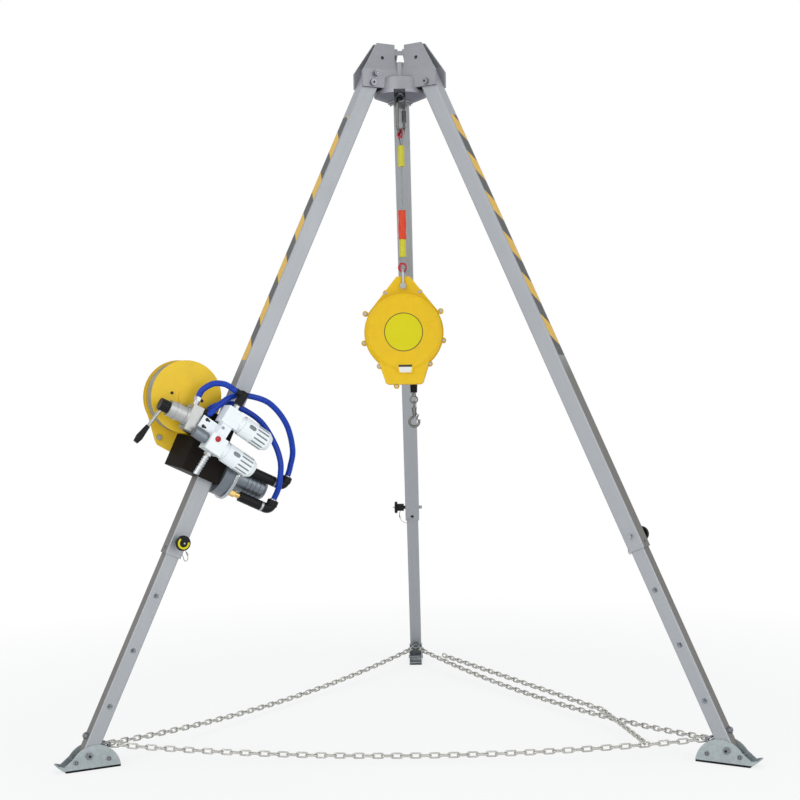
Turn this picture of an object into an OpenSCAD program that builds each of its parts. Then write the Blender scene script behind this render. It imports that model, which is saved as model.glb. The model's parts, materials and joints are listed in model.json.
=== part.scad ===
// Rescue tripod: cast head, three telescoping legs tied by a chain, a hanging fall arrester
// and an air winch on the left leg. Millimetres, origin on the floor under the head, +Z up.

/* [Tripod] */
// Angle of each leg from the vertical
leg_tilt = 25.1; // [24:0.1:26.5]
// Distance along a leg from its head pivot to its foot pivot
leg_len = 2170; // [2140:5:2300]
// Radius from the centre line to the head pivots
pivot_r = 114; // [112:1:120]
// Height of the foot pivots above the floor
foot_pivot_h = 40; // [38:1:48]

/* [Leg tubes] */
// Width of the outer square tube
outer_w = 50; // [48:1:54]
// Wall of the outer tube
outer_wall = 3.5; // [3:0.1:4]
// Wall of the inner tube
inner_wall = 3; // [2.5:0.1:4]
// Gap between the inner and the outer tube on each side
tube_clear = 0.5; // [0.3:0.1:0.8]
// Corner radius of the outer tube
corner_r = 4; // [3:0.5:5]
// Length of the outer tube above its pivot
outer_above = 40; // [38:1:42]
// Length of the outer tube below its pivot
outer_below = 1572; // [1560:1:1600]
// Distance from the head pivot down to the top of the inner tube
inner_top = 1350; // [1250:5:1420]
// Length of the inner tube below the foot pivot
inner_tail = 14; // [12:0.5:16]
// Distance from the outer tube's lower end up to the adjusting pin
pin_rise = 43; // [38:1:60]
// Spacing of the adjusting holes
hole_pitch = 165.5; // [140:0.5:170]
// Number of adjusting holes in the inner tube
hole_count = 4; // [3:1:4]

/* [Adjusting pins] */
// Diameter of the pin
pin_d = 12; // [10:0.5:14]
// Travel of the pin into the inner tube
pin_travel = 5.5; // [4.5:0.5:5.5]
// Diameter of the knob's flange
knob_d = 44; // [40:1:50]
// Diameter of the knob's grip
grip_d = 27; // [24:1:32]
// Length of the knob's grip
grip_len = 24; // [20:0.5:28]
// Diameter of the push button
button_d = 5; // [4:0.5:7]

/* [Head] */
// Thickness of the cheeks beside each tube
cheek_t = 8; // [7:0.5:10]
// Gap between a tube and each cheek
pocket_clear = 0.4; // [0.3:0.1:0.6]
// Height of the head above the pivots
head_rise = 130; // [126:1:136]
// Depth of the cheeks below the pivots
head_drop = 13; // [12:1:16]
// Distance from the pivots out to the cheeks' outer edge
shoulder_out = 34; // [30:1:38]
// Height of the cheeks' outer edge above the pivots
shoulder_rise = 35; // [30:1:44]
// Distance from the pivots in to the top outer corner of the cheeks
crown_in = 27; // [22:1:32]
// Width of the slots between the arms
slot_w = 29; // [24:1:30]
// Height of the slot floor above the pivots
slot_rise = 71; // [66:1:76]
// Diameter of the pivot bolts
pivot_bolt_d = 12; // [11:0.5:14]
// Diameter of the leg lock pins
lock_d = 10; // [8:0.5:11]
// Travel of the leg lock pins
lock_travel = 6; // [5:0.5:7]
// Radius of the bowl under the head
bowl_r = 83; // [78:1:84]

/* [Feet] */
// Length of a shoe on the inner side of its pivot
shoe_in = 90; // [86:1:96]
// Length of a shoe on the outer side of its pivot
shoe_out = 69; // [66:1:76]
// Radius of the round top of the shoe's cheeks
shoe_r = 74; // [72:1:78]
// Sheet thickness of the shoe
shoe_t = 2.5; // [2:0.1:3]
// Thickness of the rubber pad
pad_t = 6; // [5:0.5:8]
// Diameter of the foot pivot bolt
foot_bolt_d = 12; // [10:0.5:13]

/* [Chain] */
// Nominal pitch of the chain
link_pitch = 27; // [25:0.5:32]
// Wire thickness of a link
link_wire = 5; // [4:0.5:5]
// Outer width of a link
link_w = 18; // [17:0.5:20]
// Sag of each span at its middle
chain_sag = 40; // [30:1:60]
// Distance of the chain eyes above the foot pivots
chain_eye_rise = 47; // [46:1:70]
// Radius of the chain eyes at the middle of their wire
eye_r = 12.5; // [12.5:0.5:14]
// Wire thickness of the chain eyes
eye_wire = 6; // [5:0.5:6]

/* [Fall arrester] */
// Length of the carabiner outside
carabiner_len = 118; // [110:1:130]
// Width of the carabiner outside
carabiner_w = 50; // [48:1:52]
// Bar thickness of the carabiner
carabiner_d = 10; // [9:0.5:11]
// Turn of the carabiner from the side-on view
carabiner_turn = 30; // [0:1:40]
// Diameter of the sling's wire rope
sling_d = 6; // [5:0.5:6.5]
// Length of the sling between the centres of its thimbles
sling_len = 424; // [410:1:500]
// Radius of the arrester's casing
casing_r = 125; // [110:1:135]
// Depth of the casing from front to back
casing_depth = 112; // [100:1:120]
// Wall of the casing
casing_wall = 4; // [3:0.5:5]
// Diameter of the lifeline
lifeline_d = 5; // [4:0.5:6]
// Travel of the lifeline that is drawn
lifeline_travel = 150; // [100:5:155]

/* [Winch] */
// Distance of the winch bracket's lower face from the head pivot
bracket_drop = 1334; // [1300:1:1345]
// Height of the bracket along the leg
bracket_h = 96; // [92:1:104]
// Radius of the rope drum's flanges
flange_r = 106; // [104:1:110]
// Radius of the drum's core, which stands for the inner layers of rope
core_r = 97; // [92:0.5:98]
// Diameter of the winch rope
rope_d = 4.8; // [4:0.1:5]
// Loops in the outer layer of rope
rope_loops = 9; // [6:1:9]
// Outer diameter of the air hoses
hose_d = 14; // [12:0.5:15]
// Radius of the filter bowls
bowl_unit_r = 30; // [26:1:31]

/* [Hidden] */
$fn = 48;

// Fits: running clearance on the diameter, seat clearance between rigid neighbours
run_fit = 0.1;
seat = 0.3;
over = 1;

// The three legs and the directions they stand in
LEFT = 0;
RIGHT = 1;
REAR = 2;
LEG_AZ = [210, 330, 90];
BETWEEN = 60;

// Leg geometry
pivot_h = foot_pivot_h + leg_len * cos(leg_tilt);
foot_r = pivot_r + leg_len * sin(leg_tilt);
inner_w = outer_w - 2 * outer_wall - 2 * tube_clear;
tube_half = outer_w / 2;
pin_drop = outer_below - pin_rise;
grip_gap = pin_travel + seat;
flange_t = 10;
stub_len = 11;
lanyard_d = 12;
lanyard_drop = 26;
button_travel = 3;
button_proud = 7;
button_seat = 12;
hinge_hole_d = pivot_bolt_d + run_fit;

// Head geometry, heights measured from the pivots
pocket_half = tube_half + pocket_clear;
arm_half = pocket_half + cheek_t;
pocket_in = pivot_r - norm([outer_above, tube_half]) - 5;
lock_in = 11;
lock_rise = 29;
lock_u = lock_rise * sin(leg_tilt) - lock_in * cos(leg_tilt);
lock_w = lock_rise * cos(leg_tilt) + lock_in * sin(leg_tilt);
lock_head_d = 18;
lock_head_t = 8;
lean_from = 44;
crown_half = 15;
pocket_lean_from = 52;
bar_rise = slot_rise + 32;
bar_tall = 13;
bar_deep = 6;
bar_seat = 6;
bar_half = arm_half - (arm_half - crown_half) * (bar_rise - lean_from) / (head_rise - lean_from);
bar_r = (bar_half - cheek_t / 2) / sin(60) + (slot_w / 2 + 2) / tan(60);
skirt_drop = head_drop + 5;
skirt_rise = 20;
skirt_top_r = bowl_r - 5;
crown_hole_d = 12;
crown_hole_in = 39.5;
crown_hole_rise = 82;
eye_ring_r = 12;
eye_ring_wire = 7;
eye_ring_drop = 29;
eye_shank_d = 12;
eye_nut_rise = 50;
eye_notch_w = 36;
eye_well_r = 29;
eye_well_rise = 8;

// Foot geometry, heights measured from the foot pivot
shoe_half_in = inner_w / 2 + seat + 0.2;
shoe_half = shoe_half_in + shoe_t;
sole_z = pad_t - foot_pivot_h;
floor_z = sole_z + shoe_t;
dome_x = -17;
dome_top = 29;
dome_z = dome_top - shoe_r;
rivet_d = 8;
rivet_z = -14;
rivet_in = 56;
rivet_out = 37;
toe_rise = 12;
toe_len = 19;

// Chain geometry
eye_collar = 4;
eye_shank = 10;
eye_u = -(inner_w / 2 + eye_collar + eye_r + eye_wire / 2 - 1);
eye_drop = leg_len - chain_eye_rise;
eye_ring_radius = pivot_r + eye_drop * sin(leg_tilt) + eye_u * cos(leg_tilt);
eye_ring_h = pivot_h - eye_drop * cos(leg_tilt) + eye_u * sin(leg_tilt);
link_gap = 0.6;
tail_from = 0.89;
tail_hang = 0.29;
tail_to = 0.88;

// Arrester geometry, worked down from the eye bolt
eye_z = pivot_h - eye_ring_drop;
carabiner_top = eye_z - eye_ring_r + eye_ring_wire / 2 + seat + carabiner_d / 2;
carabiner_bottom = carabiner_top - carabiner_len + carabiner_d;
carabiner_r = (carabiner_w - carabiner_d) / 2;
gate_d = carabiner_d - 1;
gate_stub = 5;
thimble_hole = 10;
thimble_turn = 25;
thimble_slack = 1.7;
thimble_wall = 2;
thimble_rim = 1.5;
thimble_half = sling_d / 2 + 0.1 + thimble_rim;
loop_r = thimble_hole + thimble_wall + sling_d / 2 + 0.2;
thimble_top = carabiner_bottom + carabiner_d / 2 + seat + thimble_slack - thimble_hole;
thimble_low = thimble_top - sling_len;
sleeve_gap = 39;
upper_turn = -carabiner_turn - thimble_turn;
lower_turn = -thimble_turn;
shackle_d = 8;
shackle_r = 17;
shackle_bolt_d = 10;
bow_z = thimble_low - thimble_hole + seat + thimble_slack + shackle_d / 2;
hanger_z = bow_z - 55;
apex_rise = 30;
apex_half_w = 21;
apex_half_t = shackle_r - shackle_d / 2 - 1;
casing_drop = 147;
casing_z = hanger_z - casing_drop;
casing_top = casing_drop + apex_rise;
neck_top = 96;
neck_bottom = 164;
neck_half_top = 80;
neck_half_low = 62;
neck_corner = 14;
neck_half_t = casing_depth / 2 - 5;
dome_taper = 5;
drum_flange_r = casing_r - 28;
axle_d = 20;
line_x = 28;
line_core_r = line_x - lifeline_d / 2 - 0.2;
drum_gap = 10;
drum_flange_t = 5;
bumper_len = 25;
bumper_d = 23;
line_eye_r = 11;
line_eye_wire = 5;
ferrule_len = 10;
bumper_z = casing_z - neck_bottom - seat;
line_eye_z = bumper_z - bumper_len - ferrule_len - line_eye_r - 1;
hook_wire = 9;
hook_r = 15;
hook_eye_r = 8;
hook_eye_wire = 5;
hook_eye_z = line_eye_z - line_eye_r + line_eye_wire / 2 + seat + hook_eye_wire / 2 - hook_eye_r;
hook_neck = 30;
hook_top = hook_eye_z - hook_eye_r - hook_eye_wire / 2 - 1;
hook_z = hook_top - hook_neck - hook_r;
swivel_d = 6;
swivel_len = 16;
gate_wire = 5;
gate_base = [12.5, 21];
gate_tip = [hook_r - hook_wire / 2 - gate_wire / 2 - 2 * seat, 6];

// Screw lugs round the casing: direction from its centre, and how far their screws stand out past its wall
LUG_TURNS = [[153, 11], [29.5, 9.5], [194, 5], [348, 2], [233, 6], [309, 3], [114, 13], [68, 13]];
neck_lug = [-26, -neck_bottom - 4];
LUGS = concat([for (a = LUG_TURNS) (casing_r + a[1]) * [cos(a[0]), sin(a[0])]], [neck_lug]);
lug_r = 9;
lug_t = 10;
screw_d = 5;

// Winch geometry in the left leg's frame: u outwards, v along the tangent, w up the leg
bracket_top = bracket_h - bracket_drop;
bracket_fit = 0.1;
bracket_in = -34;
bracket_front = 52;
bracket_rear = -36;
bracket_out_front = 88;
bracket_out_rear = 113;
front_plate_t = 6;
front_plate_rise = 90;
front_plate_in = -15;
front_plate_out = 130;
drum_u = 152;
drum_w = bracket_top + 100;
side_plate_t = 4;
drum_flange_plate = 4;
drum_rear = bracket_rear + 6;
drum_front = 32;
shaft_d = 25;
motor_w = bracket_top - 52;
gear_case_r = 70;
gear_case_len = 32;
gear_rim_r = 75;
gear_rim_t = 10;
motor_r = 36;
motor_len = 114;
valve_v = 76;
valve_w = bracket_top + 43;
valve_block_u = 110;
valve_block_len = 34;
valve_block_w = 76;
valve_block_v = 46;
valve_r = 24;
valve_len = 60;
hub_len = 28;
hub_r = 18;
lever_lean = 15;
lever_len = 60;
lever_d = 9;
lever_grip_len = 58;
unit_v = bracket_front + 66;
unit_tilt = -9;
unit_u = 51;
unit_w = bracket_top - 3;
unit_pitch = 90;
unit_body = 52;
bowl_len = 100;
knob_len = 44;
knob_r = 18;
bowl_collar = 14;
bowl_ease = 8;
bridge_u = 32;
bridge_v = 36;
post_d = 14;
mount_w = knob_r + 2;
mount_plate = [52, 5, 36];
mount_plate_u = 15;
mount_plate_v = -12;
mount_hole_d = 7;
mount_hole_u = 38;
mount_hole_w = [7, 29];
port_nipple_d = 16;
port_hex = 22;
inlet_len = 50;
inlet_d = 14;
inlet_barb_d = 19;
inlet_barb_pitch = 8;
inlet_hex = 24;
inlet_hex_len = 12;
outlet_hex = 18;
outlet_hex_len = 16;
outlet_cap_len = 44;
supply_stem_len = 14;
supply_hex_len = 12;
sleeve_grip = 3;
port_v = 42;
port_w = [motor_w - 49, motor_w + 32];
nipple_len = [34, 16];
sleeve_len = [90, 120];
elbow_d = 20;
elbow_bend = 16;

// Hose routes in the left leg's frame. The points between the fittings are chosen by hand, with heights above the
// bracket. A and B run from the valve to the motor, C from the filters to the valve.
MID_A = [[74, 89, 105], [48, 88, 147], [8, 88, 169], [-67, 88, 179], [-145, 80, 147], [-203, 62, 89], [-223, 47, 41]];
MID_B = [[80, 66, 100], [40, 66, 130], [-3, 66, 133], [-74, 66, 122], [-139, 67, 82], [-180, 68, 38], [-200, 66, -8],
         [-208, 61, -30], [-214, 49, -49]];
MID_C = [[87, 105, 169], [113, 92, 159], [130, 80, 136]];
hose_port_v = [90, 64];
hose_port_w = valve_w + 30;
hose_port_len = 11;
supply_u = valve_block_u + 24;
supply_top = valve_w + valve_block_w / 2 + supply_stem_len + supply_hex_len;
motor_face = bracket_in - gear_case_len - gear_rim_t;
elbow_rise = 12;
function raised(route) = [for (p = route) p + [0, 0, bracket_top]];
function valve_end(i) = [for (d = [0, 11]) [valve_block_u - hose_port_len - d, hose_port_v[i], hose_port_w + d / 5]];
function elbow_u(i) = motor_face - nipple_len[i] - sleeve_len[i] - elbow_bend;
function elbow_end(i) = [for (d = [hose_d - 2, 0]) [elbow_u(i), port_v, port_w[i] + elbow_bend + elbow_rise + d]];
function unit_point(u, w) = [
  unit_u + u * cos(unit_tilt) + w * sin(unit_tilt), unit_v, unit_w - u * sin(unit_tilt) + w * cos(unit_tilt)];
outlet_w = unit_pitch + unit_body / 2 + outlet_hex_len + outlet_cap_len - 12;
outlet_len = 26;
function outlet_end() = [for (d = [0, hose_d]) unit_point(outlet_len + d, outlet_w)];
function supply_end() = [for (d = [hose_d, 0]) [supply_u, valve_v, supply_top + d]];
HOSES = [
  concat(valve_end(0), raised(MID_A), elbow_end(1)),
  concat(valve_end(1), raised(MID_B), elbow_end(0)),
  concat(outlet_end(), raised(MID_C), supply_end())];

// Placing modules
module in_leg(k) {
  rotate([0, 0, LEG_AZ[k]]) translate([pivot_r, 0, pivot_h]) rotate([0, -leg_tilt, 0]) children();
}

module in_foot(k) {
  rotate([0, 0, LEG_AZ[k]]) translate([foot_r, 0, foot_pivot_h]) children();
}

module along_u(d, len) {
  rotate([0, 90, 0]) cylinder(d = d, h = len);
}

module along_v(d, len) {
  rotate([-90, 0, 0]) cylinder(d = d, h = len);
}

module across_v(d, len) {
  rotate([90, 0, 0]) cylinder(d = d, h = len, center = true);
}

module hex_v(across, len) {
  rotate([-90, 0, 0]) cylinder(d = across / cos(30), h = len, $fn = 6);
}

// Flat outline in u and w given a thickness along v, from v0 towards +v
module plate_v(v0, t) {
  translate([0, v0 + t, 0]) rotate([90, 0, 0]) linear_extrude(height = t) children();
}

module soft_square(w, r) {
  square([w - 2 * r, w], center = true);
  square([w, w - 2 * r], center = true);
  for (x = [-1, 1], y = [-1, 1]) translate([x * (w / 2 - r), y * (w / 2 - r)]) circle(r = r);
}

module square_tube(w, wall, r, len) {
  linear_extrude(height = len) difference() {
    soft_square(w, r);
    soft_square(w - 2 * wall, max(r - wall, 0.5));
  }
}

// Swept tubes: a smooth curve through hand-chosen points, with a ring of corners at each step
function unit(a) = a / norm(a);
function spline_at(a, b, c, d, t) =
  0.5 * (2 * b + (c - a) * t + (2 * a - 5 * b + 4 * c - d) * t * t + (3 * b - a - 3 * c + d) * t * t * t);
function smooth(p, steps) = concat(
  [for (i = [0 : len(p) - 2], s = [0 : steps - 1])
    spline_at(p[max(i - 1, 0)], p[i], p[i + 1], p[min(i + 2, len(p) - 1)], s / steps)],
  [p[len(p) - 1]]);
function ring(at, way, ref, r, sides) =
  let (a = unit(cross(way, ref)), b = cross(way, a))
  [for (j = [0 : sides - 1]) at + r * (cos(360 * j / sides) * a + sin(360 * j / sides) * b)];
function side_faces(rings, sides) = [for (i = [0 : rings - 2], j = [0 : sides - 1])
  let (a = i * sides + j, b = i * sides + (j + 1) % sides)
  each [[a, a + sides, b + sides], [a, b + sides, b]]];
function end_faces(rings, sides) = [
  [for (j = [0 : sides - 1]) j],
  [for (j = [sides - 1 : -1 : 0]) (rings - 1) * sides + j]];

module swept_tube(p, d, sides, ref) {
  n = len(p);
  corners = [for (i = [0 : n - 1])
    each ring(p[i], unit(p[min(i + 1, n - 1)] - p[max(i - 1, 0)]), ref, d / 2, sides)];
  polyhedron(corners, concat(side_faces(n, sides), end_faces(n, sides)));
}

// Head
module arm_outline() {
  polygon([
    [0, -head_drop],
    [pivot_r + shoulder_out, -head_drop],
    [pivot_r + shoulder_out, shoulder_rise],
    [pivot_r - crown_in, head_rise],
    [0, head_rise]
  ]);
}

// Cross-section of an arm: upright beside the tube, leaning in above it
module arm_section(half, crown, from) {
  polygon([
    [-half, -skirt_drop - over], [half, -skirt_drop - over], [half, from], [crown, head_rise + over],
    [-crown, head_rise + over], [-half, from]
  ]);
}

module along_arm(len) {
  rotate([90, 0, 90]) linear_extrude(height = len) children();
}

module bowl_profile() {
  bottom = skirt_drop + 40;
  polygon([
    [0, -skirt_drop], [bowl_r, -skirt_drop], [bowl_r, -skirt_drop - 11],
    [eye_well_r + 16, -skirt_drop - 27], [eye_well_r + 10, -skirt_drop - 27], [eye_well_r + 10, -skirt_drop - 34],
    [eye_well_r + 5, -skirt_drop - 34], [eye_well_r + 5, -bottom], [0, -bottom]
  ]);
}

module slot_bar(grow) {
  translate([bar_r - bar_deep / 2 - grow, -slot_w / 2 - bar_seat - grow, bar_rise - bar_tall / 2 - grow])
    cube([bar_deep + 2 * grow, slot_w + 2 * bar_seat + 2 * grow, bar_tall + 2 * grow]);
}

module head_casting() {
  reach = pivot_r + shoulder_out + over;
  color("#97979b") translate([0, 0, pivot_h]) difference() {
    union() {
      for (az = LEG_AZ) rotate([0, 0, az]) intersection() {
        plate_v(-arm_half, 2 * arm_half) arm_outline();
        along_arm(reach) arm_section(arm_half, crown_half, lean_from);
      }
      translate([0, 0, -skirt_drop]) cylinder(r1 = bowl_r, r2 = skirt_top_r, h = skirt_drop + skirt_rise);
      translate([0, 0, skirt_rise]) cylinder(r1 = skirt_top_r, r2 = skirt_top_r - 12, h = 5);
      rotate_extrude() bowl_profile();
      for (az = LEG_AZ) rotate([0, 0, az + BETWEEN]) translate([arm_half + 3, 0, 0]) cylinder(d = 22, h = slot_rise + 5);
    }
    for (az = LEG_AZ) rotate([0, 0, az]) {
      translate([pocket_in, 0, 0]) along_arm(reach) arm_section(pocket_half, crown_half - cheek_t, pocket_lean_from);
      intersection() {
        along_arm(reach) arm_section(pocket_half, crown_half - cheek_t, pocket_lean_from);
        translate([0, -reach, slot_rise - 3]) cube(2 * reach);
      }
      translate([pivot_r, 0, 0]) across_v(hinge_hole_d, 3 * arm_half);
      translate([pivot_r - lock_in, 0, lock_rise]) along_v(lock_d + run_fit, arm_half + over);
      translate([pivot_r - crown_hole_in, 0, crown_hole_rise]) across_v(crown_hole_d, 3 * arm_half);
      rotate([0, 0, BETWEEN]) {
        translate([0, -slot_w / 2, slot_rise]) cube([reach, slot_w, head_rise]);
        slot_bar(run_fit / 2);
        translate([0, -eye_notch_w / 2, -skirt_drop - 60]) cube([reach, eye_notch_w, 58]);
      }
    }
    translate([0, 0, -skirt_drop - 60]) cylinder(r = eye_well_r, h = 60 + skirt_drop - eye_well_rise);
    translate([0, 0, -skirt_drop]) cylinder(d = eye_shank_d + run_fit, h = eye_nut_rise + skirt_drop);
    translate([0, 0, eye_nut_rise]) cylinder(r = 14, h = head_rise);
    translate([0, 0, slot_rise - 4]) cylinder(r = 30, h = head_rise);
  }
}

module pivot_bolt() {
  across_v(pivot_bolt_d, 2 * arm_half + 20);
  for (turn = [0, 180]) rotate([0, 0, turn]) translate([0, arm_half, 0]) {
    along_v(1.8 * pivot_bolt_d, 2);
    translate([0, 2, 0]) hex_v(1.5 * pivot_bolt_d, 7);
  }
}

module head_pins() {
  color("#c8c9cc") translate([0, 0, pivot_h]) for (az = LEG_AZ) rotate([0, 0, az]) {
    translate([pivot_r, 0, 0]) pivot_bolt();
    rotate([0, 0, BETWEEN]) slot_bar(0);
  }
}

module eye_bolt() {
  color("#c8c9cc") translate([0, 0, pivot_h]) {
    translate([0, 0, -eye_ring_drop]) rotate([90, 0, 0]) rotate_extrude()
      translate([eye_ring_r, 0]) circle(d = eye_ring_wire);
    translate([0, 0, -eye_ring_drop + eye_ring_r]) cylinder(d = eye_shank_d, h = eye_nut_rise + 2);
    translate([0, 0, eye_nut_rise]) cylinder(d = 1.7 * eye_shank_d, h = 10, $fn = 6);
  }
}

module lock_pin(k) {
  color("#b9bbc0") rotate([0, 0, LEG_AZ[k]]) translate([pivot_r - lock_in, pocket_half + 0.2, pivot_h + lock_rise]) {
    along_v(lock_d, cheek_t + lock_travel + 1);
    translate([0, cheek_t + lock_travel + seat, 0]) along_v(lock_head_d, lock_head_t);
  }
}

// Legs
module upper_tube(k) {
  color("#b3b8be") in_leg(k) difference() {
    union() {
      translate([0, 0, -outer_below]) square_tube(outer_w, outer_wall, corner_r, outer_below + outer_above);
      translate([0, -tube_half - stub_len, -pin_drop]) along_v(pin_d, stub_len + outer_wall / 2);
    }
    across_v(hinge_hole_d, outer_w + 2 * over);
    translate([lock_u, 0, lock_w]) along_v(lock_d + 4 * run_fit, outer_w);
    translate([0, 0, -pin_drop]) along_v(pin_d + run_fit, outer_w);
    translate([-outer_w, 0, -pin_drop - lanyard_drop]) along_u(lanyard_d, 2 * outer_w);
  }
}

module lower_tube(k) {
  color("#aeb3b8") in_leg(k) difference() {
    translate([0, 0, -leg_len - inner_tail])
      square_tube(inner_w, inner_wall, corner_r, leg_len + inner_tail - inner_top);
    translate([0, 0, -leg_len]) across_v(foot_bolt_d + run_fit, 2 * inner_w);
    for (i = [0 : hole_count - 1])
      translate([0, 0, -pin_drop - i * hole_pitch]) across_v(pin_d + 4 * run_fit, 2 * inner_w);
    translate([-inner_w, 0, -eye_drop]) along_u(eye_shank + run_fit, 2 * inner_w);
    translate([-inner_w, 0, -pin_drop - lanyard_drop]) along_u(lanyard_d, 2 * inner_w);
  }
}

module chain_eye(k) {
  color("#aab0b0") in_leg(k) translate([0, 0, -eye_drop]) {
    translate([eye_u, 0, 0]) rotate_extrude() translate([eye_r, 0]) circle(d = eye_wire);
    translate([eye_u + eye_r, 0, 0]) along_u(eye_shank, inner_w / 2 - eye_u - eye_r + 12);
    translate([-inner_w / 2 - eye_collar, 0, 0]) along_u(1.8 * eye_shank, eye_collar);
    translate([inner_w / 2, 0, 0]) rotate([0, 90, 0]) cylinder(d = 1.85 * eye_shank, h = 9, $fn = 6);
  }
}

module adjusting_pin(k) {
  tip = tube_half - outer_wall + seat;
  back = tube_half + grip_gap;
  front = back + grip_len + flange_t;
  color("#26262a") in_leg(k) translate([0, 0, -pin_drop]) difference() {
    union() {
      translate([0, tip, 0]) along_v(pin_d, back - tip + over);
      translate([0, back, 0]) along_v(grip_d, grip_len + over);
      translate([0, back + grip_len, 0]) rotate([-90, 0, 0]) cylinder(d1 = knob_d - 5, d2 = knob_d, h = 3);
      translate([0, back + grip_len + 3, 0]) along_v(knob_d, flange_t - 6);
      translate([0, front - 3, 0]) rotate([-90, 0, 0]) cylinder(d1 = knob_d, d2 = knob_d - 5, h = 3);
    }
    translate([0, front - button_seat - button_travel, 0]) along_v(button_d + run_fit, button_seat + grip_len);
  }
}

module pin_button(k) {
  front = tube_half + grip_gap + grip_len + flange_t;
  color("#c9ccd0") in_leg(k) translate([0, front - button_seat, -pin_drop]) along_v(button_d, button_seat + button_proud);
}

// Feet
module shoe_cheek() {
  difference() {
    union() {
      intersection() {
        translate([dome_x, dome_z]) circle(r = shoe_r, $fn = 96);
        translate([-shoe_in, sole_z]) square([shoe_in + shoe_out, 2 * shoe_r]);
      }
      polygon([[-40, sole_z], [shoe_out, sole_z], [shoe_out, sole_z + 11], [9, dome_top - 4.5], [-40, 0]]);
    }
    circle(d = foot_bolt_d + run_fit);
    for (x = [-rivet_in, rivet_out]) translate([x, rivet_z]) circle(d = rivet_d + run_fit);
  }
}

module foot_shoe(k) {
  color("#a9b2b2") in_foot(k) {
    for (v = [-shoe_half, shoe_half_in]) plate_v(v, shoe_t) shoe_cheek();
    translate([-shoe_in, -shoe_half, sole_z]) cube([shoe_in + shoe_out, 2 * shoe_half, shoe_t]);
    plate_v(-shoe_half, 2 * shoe_half) polygon([
      [shoe_out - 2, sole_z], [shoe_out + 4, sole_z], [shoe_out + toe_len, sole_z + toe_rise],
      [shoe_out + toe_len - 2, sole_z + toe_rise + 2], [shoe_out + 3, floor_z], [shoe_out - 2, floor_z]]);
    for (v = [-shoe_half, shoe_half_in]) plate_v(v, shoe_t) polygon([
      [shoe_out - 1, sole_z + shoe_t / 2], [shoe_out + 4, sole_z + shoe_t / 2],
      [shoe_out + toe_len - 1, sole_z + toe_rise + 1], [shoe_out + toe_len - 4, sole_z + toe_rise + 3],
      [shoe_out - 1, sole_z + 10.5]]);
  }
}

module foot_pad(k) {
  color("#1c1c1e") in_foot(k) translate([-shoe_in, -shoe_half + 1, -foot_pivot_h])
    cube([shoe_in + shoe_out - 4, 2 * shoe_half - 2, pad_t]);
}

module foot_pins(k) {
  color("#c4c8c8") in_foot(k) {
    across_v(foot_bolt_d, 2 * shoe_half + 16);
    for (turn = [0, 180]) rotate([0, 0, turn]) translate([0, shoe_half, 0]) hex_v(1.55 * foot_bolt_d, 6);
    for (x = [-rivet_in, rivet_out]) translate([x, 0, rivet_z]) {
      across_v(rivet_d, 2 * shoe_half + 4);
      for (turn = [0, 180]) rotate([0, 0, turn]) translate([0, shoe_half, 0]) along_v(1.7 * rivet_d, 3);
    }
  }
}

// Chain: each span runs between two eyes, with an odd number of links so that both end links stand upright
function eye_at(k) = [
  eye_ring_radius * cos(LEG_AZ[k]), eye_ring_radius * sin(LEG_AZ[k]), eye_ring_h];
function up_leg(k) = [-sin(leg_tilt) * cos(LEG_AZ[k]), -sin(leg_tilt) * sin(LEG_AZ[k]), cos(leg_tilt)];
// Where a span starts: just inside the wire of the tilted eye, at the height of the wire there
function hook_point(k, other) =
  let (way = unit(eye_at(other) - eye_at(k)), up = up_leg(k))
  eye_at(k) + eye_r * unit(way - (way * up) * up) - (eye_wire / 2 + 1.5 * seat) * way + [0, 0, seat];
function hang(p, q, sag, t) = p + (q - p) * t - [0, 0, 4 * sag * t * (1 - t)];
function hang_way(p, q, sag, t) = unit((q - p) - [0, 0, 4 * sag * (1 - 2 * t)]);
function odd_count(len, pitch) = 2 * round((len / pitch - 1) / 2) + 1;
link_half = (link_w - link_wire) / 2;
LINK_TURNS = [0, 60, 120, 180];

function link_path(straight) = concat(
  [for (a = LINK_TURNS) [link_half * cos(a), straight / 2 + link_half * sin(a), a]],
  [for (a = LINK_TURNS) [-link_half * cos(a), -straight / 2 - link_half * sin(a), a + 180]]);

// One link along z with its flat in the x and z plane, of square wire
module chain_link(pitch) {
  path = link_path(pitch + link_gap - link_w + 2 * link_wire);
  n = len(path);
  corners = [for (p = path, j = [0 : 3])
    let (out = link_wire / 2 * cos(45 + 90 * j), up = link_wire / 2 * sin(45 + 90 * j))
    [p[0] + out * cos(p[2]), up, p[1] + out * sin(p[2])]];
  faces = [for (i = [0 : n - 1], j = [0 : 3])
    let (a = 4 * i + j, b = 4 * i + (j + 1) % 4, c = 4 * ((i + 1) % n) + j, d = 4 * ((i + 1) % n) + (j + 1) % 4)
    each [[a, d, b], [a, c, d]]];
  polyhedron(corners, faces);
}

module chain_run(p, q, sag, n, first, last) {
  pitch = norm(q - p) / n;
  for (i = [first : last]) {
    t = (i + 0.5) / n;
    way = hang_way(p, q, sag, t);
    translate(hang(p, q, sag, t)) rotate([0, 90 - asin(way[2]), atan2(way[1], way[0])])
      rotate([0, 0, 90 * (i % 2)]) chain_link(pitch);
  }
}

// The half of the span between two legs that hangs nearer to leg k
module half_span(k, other, spare) {
  p = hook_point(k, other);
  q = hook_point(other, k);
  n = odd_count(norm(q - p), link_pitch);
  chain_run(p, q, chain_sag, n, 0, (n - 1) / 2 - spare);
}

module leg_chain(k) {
  color("#98968f") {
    half_span(k, (k + 1) % 3, 0);
    half_span(k, (k + 2) % 3, 1);
  }
}

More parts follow.
